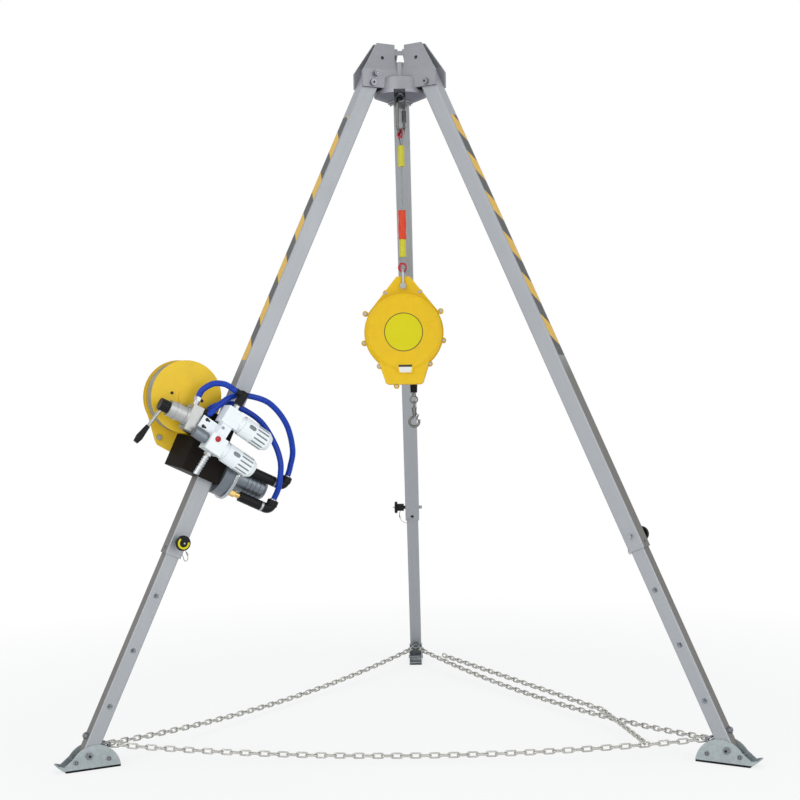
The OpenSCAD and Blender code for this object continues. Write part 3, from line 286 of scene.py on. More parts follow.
class FinishTree(Shader):
    """The material of one finish."""

    def __init__(self, finish: Finish) -> None:
        """Make the material and its nodes.

        Args:
            finish: what the surface looks like.
        """
        self.finish = finish
        self.material = bpy.data.materials.new(finish.name)
        self.material.diffuse_color = linear(finish.srgb)
        super().__init__(self.material)
        makers: dict[Grain, Callable[[], Shading]] = {
            Grain.BRUSHED: self.brushed, Grain.STRAND: self.strand,
            Grain.HOSE: self.hose, Grain.STRIPES: self.stripes}
        colour, rough, height = makers.get(finish.grain, self.speckled)()
        bump = self.add("Bump", {"Strength": finish.bump, "Distance": MM, "Height": height})
        surface = self.add("BsdfPrincipled", {
            "Base Color": colour, "Roughness": rough, "Normal": bump.outputs[0], "Metallic": finish.metallic,
            "Coat Weight": finish.coat, "Specular IOR Level": finish.specular})
        self.add("OutputMaterial", {0: surface.outputs[0]})

    def place(self, stretch: Sequence[float] = (1.0, 1.0, 1.0)) -> Socket:
        """Object coordinates, turned into the finish's leg where it names one.

        Args:
            stretch: how far the pattern is drawn out along the leg's u, v and w.

        Returns:
            The coordinates.
        """
        if self.finish.leg is None:
            return self.here()
        frame = LEGS[self.finish.leg].frame
        inputs = {"Vector": self.here(), "Location": frame.to_translation(), "Rotation": frame.to_euler(),
                  "Scale": stretch}
        return self.add("Mapping", inputs, vector_type="TEXTURE").outputs[0]

    def tone(self, value: Socket, low: float, high: float) -> Socket:
        """Colour between the finish's dark and light tone.

        Args:
            value: what the colour follows.
            low: the value with the dark tone.
            high: the value with the light tone.

        Returns:
            The colour.
        """
        r, g, b, _ = linear(self.finish.srgb)
        dark, light = ((min(r * k, 1.0), min(g * k, 1.0), min(b * k, 1.0), 1.0)
                       for k in (1.0 - self.finish.spread, 1.0 + self.finish.spread * 0.7))
        return self.mix(self.ramp(value, low, high), dark, light)

    def gloss(self, value: Socket, less: float, more: float) -> Socket:
        """Roughness that a noise takes from a little less to a little more than the finish's own."""
        return self.ramp(value, 0.3, 0.7, self.finish.roughness - less, self.finish.roughness + more)

    def speckled(self) -> Shading:
        """Cast, enamelled, moulded, plated and rubber surfaces: broad tone, fine grain.

        Returns:
            Colour, roughness and height.
        """
        finish, coords = self.finish, self.place()
        broad = self.noise(coords, finish.scale * 0.08, 5.0)
        if finish.grain is Grain.PLATED:
            fine = self.add("TexVoronoi", {"Vector": coords, "Scale": finish.scale}).outputs[0]
        else:
            fine = self.noise(coords, finish.scale, 3.0)
        both = self.math("MULTIPLY_ADD", fine, 0.4, self.math("MULTIPLY", broad, 0.6))
        colour = self.tone(both, 0.3, 0.7)
        # The second colour goes on the outer half of a leg's piece; with no leg named it is painted shade on
        # the surfaces that look down.
        if finish.second:
            outer = (self.math("GREATER_THAN", self.split(coords)[0]) if finish.leg
                     else self.ramp(self.facing(Vector((0.0, 0.0, -1.0))), 0.25, 0.6))
            colour = self.mix(outer, colour, linear(finish.second))
        return colour, self.gloss(broad, 0.06, 0.08), fine

    def brushed(self) -> Shading:
        """Drawn alloy tube: fine lines along it, and painted shade on the outer face below the tape.

        Returns:
            Colour, roughness and height.
        """
        lines = self.noise(self.place((0.004, 0.004, 0.6)), 6.0, 4.0)
        outward = LEGS[self.finish.leg].frame.to_3x3() @ Vector((1.0, 0.0, 0.0))
        below = self.ramp(self.split(self.place())[2], -1.02, -0.90, 1.0, 0.0)
        # Painted shade: the outward face below the tape takes the darker second colour.
        outer_face_shade = self.math("MULTIPLY", self.ramp(self.facing(outward), 0.8, 0.97), below)
        colour = self.mix(outer_face_shade, self.tone(lines, 0.35, 0.65), linear(self.finish.second))
        return colour, self.gloss(self.noise(self.here(), 5.0, 2.0), 0.05, 0.07), lines

    def strand(self) -> Shading:
        """Twisted wire: slanting strands across the piece's own length.

        The colour is painted shade in the grooves between the strands and painted highlight on their backs.

        Returns:
            Colour, roughness and height.
        """
        along, around, _ = self.split(self.add("UVMap").outputs[0])
        lay = self.math("MULTIPLY_ADD", along, self.finish.scale, self.math("MULTIPLY", around, 6.0))
        wave = self.math("ABSOLUTE", self.math("SINE", self.math("MULTIPLY", lay, math.pi)))
        # Painted shade and highlight: the colour follows the strand wave, darker in the grooves, lighter on
        # the backs.
        return self.tone(wave, 0.0, 0.6), self.finish.roughness, wave

    def hose(self) -> Shading:
        """Extruded hose: faint rings along it and a worn sheen.

        Returns:
            Colour, roughness and height.
        """
        along = self.split(self.add("UVMap").outputs[0])[0]
        rings = self.math("SINE", self.math("MULTIPLY", along, self.finish.scale))
        wear = self.noise(self.place(), 60.0, 4.0)
        return self.tone(wear, 0.35, 0.65), self.gloss(wear, 0.08, 0.1), rings

    def stripes(self) -> Shading:
        """Slanting hazard stripes along a leg, with a fine printed grain.

        Returns:
            Colour, roughness and height.
        """
        _, across, along = self.split(self.place())
        slant = self.math("ADD", along, self.math("MULTIPLY", across, 0.9))
        turns = self.math("MULTIPLY", self.math("ADD", slant, 5.0), 1.0 / self.finish.scale)
        band = self.math("GREATER_THAN", self.math("FRACT", self.math("ADD", turns, self.finish.shift)), 0.5)
        print_grain = self.noise(self.here(), 90.0, 4.0)
        colour = self.mix(band, self.tone(print_grain, 0.3, 0.7), linear(self.finish.second))
        return colour, self.gloss(print_grain, 0.05, 0.08), print_grain


def strand_edge(angle: float) -> float:
    """Share of a rope's radius at an angle round it, with six strands on a core.

    Args:
        angle: where the edge is looked at, in radians.

    Returns:
        The share, one on the back of a strand.
    """
    turn = math.pi / 3
    off = (angle + turn / 2) % turn - turn / 2
    return 2 / 3 * math.cos(off) + math.sqrt(max(1 / 9 - (2 / 3 * math.sin(off)) ** 2, 0.0))


@dataclass
class Stock:
    """A mesh in the making: points, faces, and a UV map along the swept pieces."""

    points: list[Vector] = field(default_factory=list)
    faces: list[tuple[int, ...]] = field(default_factory=list)
    uvs: list[Pairs] = field(default_factory=list)

    def face(self, corners: tuple[int, ...], uv: Pairs | None = None) -> None:
        """Keep a face and its UV corners."""
        self.faces.append(corners)
        self.uvs.append(uv or tuple((0.0, 0.0) for _ in corners))

    def skin(self, rows: int, count: int, ring: bool = False, lengths: Sequence[float] = ()) -> Stock:
        """Join the last rows of points into a skin, and close its ends.

        Args:
            rows: number of rows.
            count: points in each row.
            ring: True where the last row joins the first.
            lengths: how far along a sweep each row lies, for its UV map.

        Returns:
            This stock.
        """
        base = len(self.points) - rows * count
        for i in range(rows if ring else rows - 1):
            a, b = base + i * count, base + (i + 1) % rows * count
            for j in range(count):
                k = (j + 1) % count
                near, far = j / count, (j + 1) / count
                uv = ((lengths[i], near), (lengths[i], far), (lengths[i + 1], far),
                      (lengths[i + 1], near)) if lengths else None
                self.face((a + j, a + k, b + k, b + j), uv)
        if not ring:
            last = base + (rows - 1) * count
            self.face(tuple(base + j for j in reversed(range(count))))
            self.face(tuple(last + j for j in range(count)))
        return self

    def tube(self, path: Sequence[Vector], radius: float, sides: int = 24, lay: float | None = None) -> Stock:
        """Sweep a round section along a path and close its ends.

        Args:
            path: points of the centre line, in metres.
            radius: radius of the section.
            sides: number of faces round it.
            lay: length of one turn of the strands, where the section is a laid rope's.

        Returns:
            This stock.
        """
        lengths: list[float] = []
        normal, length = Vector(), 0.0
        for i, here in enumerate(path):
            way = (path[min(i + 1, len(path) - 1)] - path[max(i - 1, 0)]).normalized()
            if i == 0:
                normal = way.orthogonal().normalized()
            else:
                length += (here - path[i - 1]).length
                normal = (normal - way * normal.dot(way)).normalized()
            lengths.append(length)
            other = way.cross(normal)
            twist = 2 * math.pi * length / (lay * MM) if lay else 0.0
            for j in range(sides):
                a = 2 * math.pi * j / sides
                r = radius * MM * (strand_edge(a) if lay else 1.0)
                self.points.append(here + r * (math.cos(a + twist) * normal + math.sin(a + twist) * other))
        return self.skin(len(path), sides, lengths=lengths)

    def lathe(self, frame: Matrix, profile: Pairs, steps: int, hollow: bool = False,
              wobble: Callable[[float, float], float] | None = None) -> Stock:
        """Turn a profile of (radius, height) about the frame's Z axis.

        Args:
            frame: place and direction of the axis.
            profile: points from the axis or the first rim to the last.
            steps: faces round the axis.
            hollow: True where the profile closes on itself, as a ring's does.
            wobble: extra radius by angle and height.

        Returns:
            This stock.
        """
        for r, h in profile:
            for j in range(steps):
                a = 2 * math.pi * j / steps
                reach = (r + (wobble(a, h) if wobble else 0.0)) * MM
                self.points.append(frame @ Vector((reach * math.cos(a), reach * math.sin(a), h * MM)))
        return self.skin(len(profile), steps, hollow)

    def slab(self, frame: Matrix, outline: Pairs, low: float, high: float, inset: float = 0.0) -> Stock:
        """Raise an outline from low to high along the frame's Z axis.

        Args:
            frame: place of the outline's plane.
            outline: its corners in order.
            low: height of the back face.
            high: height of the front face.
            inset: how far the front edge is eased in.

        Returns:
            This stock.
        """
        cx, cy = (sum(p[i] for p in outline) / len(outline) for i in (0, 1))
        reach = max(math.hypot(x - cx, y - cy) for x, y in outline)
        rows = ((low, 0.0), (high - inset, 0.0), (high, inset))
        for h, cut in rows:
            share = 1.0 - cut / reach
            eased = [(cx + (x - cx) * share, cy + (y - cy) * share) for x, y in outline]
            self.points += [frame @ Vector((x * MM, y * MM, h * MM)) for x, y in eased]
        return self.skin(len(rows), len(outline))

    def curved_slot(self, frame: Matrix, radius: float, angle: float, along: float,
                    length: float, width: float) -> Stock:
        """Slot-shaped patch that follows a round wall about the frame's X axis.

        Args:
            frame: place of the wall's axis.
            radius: radius of the wall.
            angle: where the slot lies round it, from Y, in radians.
            along: the slot's middle along X.
            length: its length along X.
            width: its width round the wall.

        Returns:
            This stock.
        """
        rows, base, sunk, proud = 9, len(self.points), 0.4, 0.25
        for h in (radius - sunk, radius + proud):
            for i in range(rows):
                s = width * (i / (rows - 1) - 0.5)
                reach = (length - width) / 2 + math.sqrt(max((width / 2) ** 2 - s * s, 0.0))
                a = angle + s / radius
                for x in (along - reach, along + reach):
                    self.points.append(frame @ Vector((x * MM, h * math.cos(a) * MM, h * math.sin(a) * MM)))
        n = 2 * rows
        for b in range(base, base + n - 2, 2):
            t = b + n
            for corners in ((t, t + 2, t + 3, t + 1), (b, b + 1, b + 3, b + 2),
                            (b + 1, t + 1, t + 3, b + 3), (b, b + 2, t + 2, t)):
                self.face(corners)
        last = base + n - 2
        self.face((base, base + n, base + n + 1, base + 1))
        self.face((last, last + 1, last + n + 1, last + n))
        return self

    def build(self, name: str, material: bpy.types.Material, smooth: float | None) -> bpy.types.Object:
        """Make the object at the origin.

        Args:
            name: the piece's name.
            material: its material.
            smooth: angle in degrees up to which edges are smooth, or None for flat faces.

        Returns:
            The new object.
        """
        mesh = bpy.data.meshes.new(name)
        mesh.from_pydata(self.points, [], self.faces)
        layer = mesh.uv_layers.new(name="UVMap")
        for loop, uv in zip(layer.data, (corner for face in self.uvs for corner in face)):
            loop.uv = uv
        mesh.materials.append(material)
        if smooth is not None:
            mesh.polygons.foreach_set("use_smooth", [True] * len(mesh.polygons))
            mesh.set_sharp_from_angle(angle=math.radians(smooth))
        mesh.update()
        return place_object(name, mesh)


def place_object(name: str, data: bpy.types.ID) -> bpy.types.Object:
    """Put a mesh, lamp or camera into the scene, at the origin.

    Args:
        name: the object's name.
        data: what it shows.

    Returns:
        The new object.
    """
    made = bpy.data.objects.new(name, data)
    bpy.context.scene.collection.objects.link(made)
    return made


def spline(points: Sequence[Vector], steps: int = 6) -> list[Vector]:
    """A smooth line through points.

    Args:
        points: the points it passes through.
        steps: pieces between two of them.

    Returns:
        The points of the line.
    """
    line: list[Vector] = []
    for i in range(len(points) - 1):
        a, b = points[max(i - 1, 0)], points[i]
        c, d = points[i + 1], points[min(i + 2, len(points) - 1)]
        slope, bow, twist = c - a, 2 * a - 5 * b + 4 * c - d, 3 * b - a - 3 * c + d
        line += [0.5 * (2 * b + slope * t + bow * t * t + twist * t ** 3)
                 for t in (s / steps for s in range(steps))]
    return line + [points[-1].copy()]


def path_length(path: Sequence[Vector]) -> float:
    """Length of a line of points."""
    return sum((b - a).length for a, b in zip(path, path[1:]))


def evenly(path: Sequence[Vector], step: float) -> list[Vector]:
    """Points at an even spacing along a line.

    Args:
        path: the line's points, in metres.
        step: about how far apart the new ones lie, in metres.

    Returns:
        The new points, with the line's ends kept.
    """
    total = path_length(path)
    count = max(round(total / step), 2)
    line: list[Vector] = [path[0].copy()]
    index, gone = 0, 0.0
    for k in range(1, count):
        target = total * k / count
        while gone + (path[index + 1] - path[index]).length < target:
            gone += (path[index + 1] - path[index]).length
            index += 1
        share = (target - gone) / (path[index + 1] - path[index]).length
        line.append(path[index].lerp(path[index + 1], share))
    return line + [path[-1].copy()]


def stadium(length: float, width: float, steps: int = 8) -> list[tuple[float, float]]:
    """Outline of a slot with round ends, its long side along X.

    Args:
        length: length over both ends.
        width: width of the slot.
        steps: pieces of each round end.

    Returns:
        The outline's corners.
    """
    r, half = width / 2, (length - width) / 2
    turns = [(x, math.radians(start + 180 * i / steps)) for x, start in ((half, -90.0), (-half, 90.0))
             for i in range(steps + 1)]
    return [(x + r * math.cos(a), r * math.sin(a)) for x, a in turns]


class Palette:
    """The finishes of the tripod, read off the photograph."""

    # The second colour is painted shade on the surfaces that look down, such as the bowl's underside.
    head = Finish("head_alloy", (148, 149, 154), Grain.CAST, 0.46, 0.4, scale=300.0, bump=0.10, spread=0.08,
                  second=(102, 105, 114))
    zinc = Finish("zinc_steel", (136, 140, 146), Grain.PLATED, 0.32, 0.75, scale=220.0, bump=0.05)
    shoe = Finish("shoe_zinc", (166, 175, 176), Grain.PLATED, 0.38, 0.5, scale=90.0, bump=0.06, spread=0.12)
    rubber = Finish("black_rubber", (26, 26, 27), Grain.RUBBER, 0.72, scale=500.0, bump=0.2, spread=0.2,
                    specular=0.12)
    pin = Finish("pin_black", (28, 28, 30), Grain.MOULDED, 0.42, scale=420.0, spread=0.15, specular=0.14)
    steel = Finish("plain_steel", (166, 167, 166), Grain.CAST, 0.26, 0.85, scale=260.0, bump=0.04,
                   spread=0.08)
    polished = Finish("polished_steel", (104, 105, 101), Grain.CAST, 0.16, 0.92, scale=150.0, bump=0.05,
                      spread=0.3)
    chrome = Finish("rim_chrome", (176, 180, 184), Grain.CAST, 0.14, 0.95, scale=60.0, bump=0.05, spread=0.25)
    eyelet = Finish("eyelet_steel", (128, 134, 142), Grain.PLATED, 0.3, 0.7, scale=220.0, bump=0.03)
    liner = Finish("hole_liner", (236, 238, 240), Grain.MOULDED, 0.5, scale=220.0, bump=0.03, spread=0.03)
    # Dark finish for painted shade in sockets, dimples, rings and slots; also used on the drum's small screws.
    shade = Finish("painted_shade_dark", (46, 46, 48), Grain.CAST, 0.5, 0.3, scale=220.0, bump=0.05, specular=0.1)
    chain = Finish("chain_steel", (178, 177, 172), Grain.PLATED, 0.22, 0.9, scale=260.0, bump=0.06,
                   spread=0.2)
    rope = Finish("wire_rope", (150, 147, 132), Grain.CAST, 0.4, 0.6, scale=300.0, bump=0.2, spread=0.25)
    sling = Finish("sling_wire", (158, 160, 162), Grain.CAST, 0.32, 0.75, scale=420.0, bump=0.1, spread=0.15)
    orange = Finish("sleeve_orange", (216, 62, 24), Grain.MOULDED, 0.34, coat=0.2, scale=180.0, bump=0.2)
    lemon = Finish("sleeve_lemon", (202, 194, 46), Grain.MOULDED, 0.32, coat=0.2, scale=160.0, bump=0.15)
    red = Finish("thimble_red", (190, 28, 46), Grain.ENAMEL, 0.35, coat=0.2, scale=300.0, bump=0.08)
    enamel = Finish("arrester_yellow", (228, 186, 22), Grain.ENAMEL, 0.40, coat=0.06, scale=420.0, bump=0.10,
                    spread=0.06)
    drum = Finish("drum_grey", (150, 150, 150), Grain.CAST, 0.4, 0.6, scale=200.0)
    bracket = Finish("bracket_black", (30, 26, 23), Grain.ENAMEL, 0.48, scale=260.0, spread=0.2,
                     specular=0.06)
    winch = Finish("winch_yellow", (232, 192, 44), Grain.ENAMEL, 0.42, coat=0.06, scale=320.0, spread=0.08)
    motor = Finish("motor_grey", (116, 123, 130), Grain.CAST, 0.30, 0.6, scale=260.0, spread=0.12)
    valve = Finish("valve_alloy", (172, 174, 172), Grain.CAST, 0.36, 0.65, scale=280.0, bump=0.14,
                   spread=0.14)
    plastic = Finish("black_plastic", (24, 24, 26), Grain.MOULDED, 0.36, scale=380.0, bump=0.1, spread=0.15,
                     specular=0.14)
    white = Finish("unit_white", (236, 241, 243), Grain.MOULDED, 0.34, coat=0.1, scale=300.0, bump=0.05,
                   spread=0.04)
    window = Finish("bowl_window", (122, 130, 131), Grain.MOULDED, 0.15, coat=0.2, scale=140.0, bump=0.05,
                    spread=0.2)
    nipple = Finish("nipple_brass", (208, 178, 112), Grain.CAST, 0.3, 0.8, scale=260.0, bump=0.06,
                    second=(176, 178, 180), leg="left")
    hose = Finish("hose_blue", (9, 57, 165), Grain.HOSE, 0.34, coat=0.1, scale=1800.0, bump=0.05, spread=0.12,
                  specular=0.2)
    label = Finish("bare_label", (214, 204, 28), Grain.MOULDED, 0.36, scale=220.0, bump=0.03, spread=0.04,
                   specular=0.12)
    ink = Finish("label_rim", (58, 56, 44), Grain.MOULDED, 0.4, scale=220.0, bump=0.03)
    plate = Finish("bare_plate", (222, 222, 216), Grain.MOULDED, 0.3, 0.1, scale=220.0, bump=0.03,
                   spread=0.05)
    dot = Finish("red_dot", (176, 24, 38), Grain.ENAMEL, 0.3, coat=0.3, scale=300.0, bump=0.03)
    wire = Finish("lanyard_wire", (150, 150, 150), Grain.STRAND, 0.4, 0.7, scale=420.0, bump=0.4, spread=0.25)

    @staticmethod
    def tube(leg: str) -> Finish:
        """Drawn alloy of one leg, with its lines along that leg."""
        # The second colour is painted shade on the outer face below the tape.
        return Finish(f"leg_alloy_{leg}", (163, 166, 170), Grain.BRUSHED, 0.46, 0.35, bump=0.05, spread=0.05,
                      second=(114, 112, 108), leg=leg)

    @staticmethod
    def tape(leg: str) -> Finish:
        """Hazard tape of one leg."""
        return Finish(f"hazard_tape_{leg}", (226, 182, 78), Grain.STRIPES, 0.45, scale=0.141, bump=0.04,
                      second=(84, 84, 84), leg=leg, shift=0.43 if leg == "left" else 0.0)


class Workshop:
    """Shared tools of the sub-assemblies: the frame, the materials and the making of pieces."""

    def __init__(self) -> None:
        """Load the frame and note its box."""
        self.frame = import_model()
        self.cad_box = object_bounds()
        self.made: dict[str, bpy.types.Material] = {}

    def material(self, finish: Finish) -> bpy.types.Material:
        """The material of a finish, made on first use.

        Args:
            finish: the finish.

        Returns:
            Its material.
        """
        if finish.name not in self.made:
            self.made[finish.name] = FinishTree(finish).material
        return self.made[finish.name]

    def paint(self, finish: Finish, *nodes: str) -> None:
        """Give CAD nodes a finish.

        Args:
            finish: the finish.
            nodes: the nodes' names.
        """
        for name in nodes:
            mesh = self.frame["nodes"][name].data
            mesh.materials.clear()
            mesh.materials.append(self.material(finish))
            LOG.info("node %s: %s", name, finish.name)

    def fit(self, piece: bpy.types.Object, body: str, slot: str | None = None) -> bpy.types.Object:
        """Put a finished piece on a body.

        Args:
            piece: the piece.
            body: the body that it rides on.
            slot: not used.

        Returns:
            The piece.
        """
        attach(piece, body)
        LOG.info("piece %s rides %s, %d faces", piece.name, body, len(piece.data.polygons))
        return piece

    def make(self, name: str, stock: Stock, finish: Finish, body: str, slot: str | None = None,
             smooth: float | None = SMOOTH) -> bpy.types.Object:
        """Make a piece from stock and put it on a body.

        Args:
            name: the piece's name.
            stock: its mesh.
            finish: its finish.
            body: the body that it rides on.
            slot: the record's slot, passed on to fit.
            smooth: angle in degrees up to which edges are smooth, or None for flat faces.

        Returns:
            The piece.
        """
        return self.fit(stock.build(name, self.material(finish), smooth), body, slot)


class Copies(Nodes):
    """A Geometry Nodes tree that copies a form to points, each copy turned by its point's own angles."""

    def __init__(self, name: str, inputs: dict[str, str]) -> None:
        """Start the tree.

        Args:
            name: the tree's name.
            inputs: the kind of socket of each input that the form needs, by the input's name.
        """
        super().__init__(bpy.data.node_groups.new(name, "GeometryNodeTree"))
        face = self.tree.interface
        for label, kind in {"Points": "Geometry", "Finish": "Material", **inputs}.items():
            face.new_socket(label, in_out="INPUT", socket_type=f"NodeSocket{kind}")
        self.ids = {s.name: s.identifier for s in face.items_tree}
        face.new_socket("Copies", in_out="OUTPUT", socket_type="NodeSocketGeometry")
        self.start = self.add("NodeGroupInput")

    def close(self, form: Socket) -> None:
        """End the tree: copy the form, make the copies real and give them their finish.

        Args:
            form: the form's geometry.
        """
        given = self.start.outputs
        angles = self.add("InputNamedAttribute", {"Name": "turn"}, data_type="FLOAT_VECTOR")
        turn = self.add("FunctionNodeEulerToRotation", {0: angles.outputs["Attribute"]})
        copies = self.add("InstanceOnPoints", {
            "Points": given["Points"], "Instance": form, "Rotation": turn.outputs[0]})
        real = self.add("RealizeInstances", {0: copies.outputs[0]})
        painted = self.add("SetMaterial", {"Geometry": real.outputs[0], "Material": given["Finish"]})
        self.add("NodeGroupOutput", {0: painted.outputs[0]})

    def run(self, name: str, places: Sequence[Matrix], values: dict[str, object]) -> bpy.types.Object:
        """Copy the form to its places and turn the result into a plain mesh.

        Args:
            name: the piece's name.
            places: where each copy goes.
            values: values of the tree's inputs, by name.

        Returns:
            The piece.
        """
        mesh = bpy.data.meshes.new(f"{name}_points")
        mesh.from_pydata([m.to_translation() for m in places], [], [])
        turn = mesh.attributes.new("turn", "FLOAT_VECTOR", "POINT")
        for item, place in zip(turn.data, places):
            item.vector = Vector(place.to_euler())
        points = place_object(f"{name}_points", mesh)
        modifier = points.modifiers.new("copies", "NODES")
        modifier.node_group = self.tree
        for label, value in values.items():
            modifier[self.ids[label]] = value
        done = bpy.data.meshes.new_from_object(points.evaluated_get(bpy.context.evaluated_depsgraph_get()))
        points.modifiers.remove(modifier)
        bpy.data.objects.remove(points)
        return place_object(name, done)


class Fasteners:
    """Copies of small forms, such as screws, rings and eyelets."""

    def __init__(self, shop: Workshop) -> None:
        """Build the node tree that takes its form from an object.

        Args:
            shop: the shared tools.
        """
        self.shop = shop
        self.copies = Copies("fasteners", {"Form": "Object"})
        form = self.copies.add("ObjectInfo", {"Object": self.copies.start.outputs["Form"]})
        self.copies.close(form.outputs["Geometry"])

    def spread(self, name: str, form: Stock, places: Sequence[Matrix], finish: Finish, body: str,
               smooth: float = SMOOTH) -> None:
        """Copy a form to its places as one piece.

        Args:
            name: the piece's name.
            form: the form about its own origin.
            places: where each copy goes.
            finish: the copies' finish.
            body: the body that they ride on.
            smooth: angle in degrees up to which edges are smooth.
        """
        material = self.shop.material(finish)
        master = form.build(f"{name}_form", material, smooth)
        piece = self.copies.run(name, places, {"Form": master, "Finish": material})
        bpy.data.objects.remove(master)
        self.shop.fit(piece, body)


@dataclass
class ChainLinks:
    """The chain between the feet, its links made by Geometry Nodes where the solids lie."""

    shop: Workshop
    length: float = 32.6
    width: float = 13.0
    wire: float = 4.9
    eye: tuple[float, float, float] = (-39.5, 0.0, -2123.0)
    keep: float = 0.37

    # Points closer than a tick of a hundredth of a millimetre are the same point.
    TICKS = 1e5
    # Where the search for a link's directions starts, and its rounds.
    FIRST_GUESS = (0.31, 0.62, 0.72)
    ROUNDS = 60

    @staticmethod
    def links() -> Copies:
        """The node tree that puts a round link on every point.

        Returns:
            The tree, with inputs for the link's sizes.
        """
        tree = Copies("chain_links", {"Length": "Float", "Width": "Float", "Wire": "Float"})
        sizes = tree.start.outputs
        halves = [tree.add("ShaderNodeMath", {0: sizes[name], 1: 0.5}, operation="MULTIPLY")
                  for name in ("Width", "Wire")]
        round_end, bar = (half.outputs[0] for half in halves)
        oblong = tree.add("CurvePrimitiveQuadrilateral", {"Width": sizes["Length"], "Height": sizes["Width"]})
        line = tree.add("FilletCurve", {"Curve": oblong.outputs[0], "Radius": round_end}, mode="POLY")
        line.inputs["Count"].default_value = 4
        line.inputs["Limit Radius"].default_value = True
        section = tree.add("CurvePrimitiveCircle", {"Resolution": 6, "Radius": bar})
        sweep = tree.add("CurveToMesh", {"Curve": line.outputs[0], "Profile Curve": section.outputs[0]})
        tree.close(tree.add("SetShadeSmooth", {0: sweep.outputs[0]}).outputs[0])
        return tree

    @classmethod
    def solids(cls, mesh: bpy.types.Mesh) -> list[list[Vector]]:
        """The points of each separate solid of a node.

        Args:
            mesh: the node's mesh of loose triangles.

        Returns:
            One list of points for each solid.
        """
        keys = [tuple(round(c * cls.TICKS) for c in v.co) for v in mesh.vertices]
        parent: dict[tuple, tuple] = {k: k for k in keys}

        def root(k: tuple) -> tuple:
            """The first point of the solid that a point is in.

            Args:
                k: the point.

            Returns:
                The first point.
            """
            while parent[k] != k:
                parent[k] = parent[parent[k]]
                k = parent[k]
            return k

        for polygon in mesh.polygons:
            first = root(keys[polygon.vertices[0]])
            for index in polygon.vertices[1:]:
                parent[root(keys[index])] = first
        groups: dict[tuple, list[Vector]] = defaultdict(list)
        for k in sorted(parent):
            groups[root(k)].append(Vector(k) / cls.TICKS)
        return list(groups.values())

    @classmethod
    def pose(cls, points: list[Vector]) -> Matrix:
        """Place of a link, with X along it and Y across it.

        Args:
            points: the points of the link's solid.

        Returns:
            The matrix of the place.
        """
        centre = sum(points, Vector()) / len(points)
        offsets = [p - centre for p in points]
        spread = [[sum(o[i] * o[j] for o in offsets) for j in range(3)] for i in range(3)]

        def strongest(avoid: Vector) -> Vector:
            """Direction of the largest spread, square to another.

            Args:
                avoid: the other direction, or a zero vector.

            Returns:
                The direction, of length one.
            """
            best = Vector(cls.FIRST_GUESS)
            for _ in range(cls.ROUNDS):
                best = Vector([sum(row[j] * best[j] for j in range(3)) for row in spread])
                best = (best - avoid * best.dot(avoid)).normalized()
            return best

        long = strongest(Vector())
        wide = strongest(long)
        turn = Matrix((long, wide, long.cross(wide))).transposed()
        return Matrix.Translation(centre) @ turn.to_4x4()

    def build(self) -> None:
        """Make each leg's share of the chain, one piece for each of its two runs."""
        tree = self.links()
        values = {"Length": self.length * MM, "Width": self.width * MM, "Wire": self.wire * MM,
                  "Finish": self.shop.material(Palette.chain)}
        for side, leg in LEGS.items():
            back, eye = leg.frame.inverted(), leg.at(*self.eye)
            places = [self.pose(p) for p in self.solids(self.shop.frame["nodes"][f"chain_{side}"].data)]
            for run, way in (("a", 1.0), ("b", -1.0)):
                chosen = [m for m in places if way * (back @ m.to_translation()).y > 0.0]
                piece = tree.run(f"links_{side}_{run}", chosen, values)
                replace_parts(piece, f"chain_{side}")
                self.shop.fit(piece, f"leg_lower_{side}", "chain_steel")
                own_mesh(piece)


@dataclass
class Head:
    """The cast head and what is bolted to it."""

    shop: Workshop
    fasteners: Fasteners
    bolt_face: float = 43.4
    lock_r: float = 103.0
    lock_face: float = 47.9
    lock_rise: float = 29.0

    # Painted shade: a dark disc in each bolt's socket and a dark ring at each lock pin.
    SOCKET = ((4.2, -0.1), (4.2, 0.15))
    LOCK_RING = ((4.6, -0.1), (6.2, -0.1), (6.2, 0.15), (4.6, 0.15))

    def build(self) -> None:
        """Dress the head."""
        self.shop.paint(Palette.head, "head_casting")
        self.shop.paint(Palette.zinc, "head_pins", "eye_bolt")
        places = [leg.turn @ move(leg.pivot_r, side * self.bolt_face, leg.pivot_h) @ turn
                  for leg in LEGS.values() for side, turn in FACING.items()]
        # Dark hexagon discs on the bolt ends and dark rings at the lock pins are painted shade.
        hexagon = Stock().lathe(ORIGIN, self.SOCKET, 6)
        self.fasteners.spread("bolt_sockets", hexagon, places, Palette.shade, "head", CRISP)
        for side, leg in LEGS.items():
            place = leg.turn @ move(self.lock_r, self.lock_face, leg.pivot_h + self.lock_rise) @ FACING[1]
            ring = Stock().lathe(place, self.LOCK_RING, 28, hollow=True)
            self.shop.make(f"lock_ring_{side}", ring, Palette.shade, f"lock_{side}", smooth=CRISP)


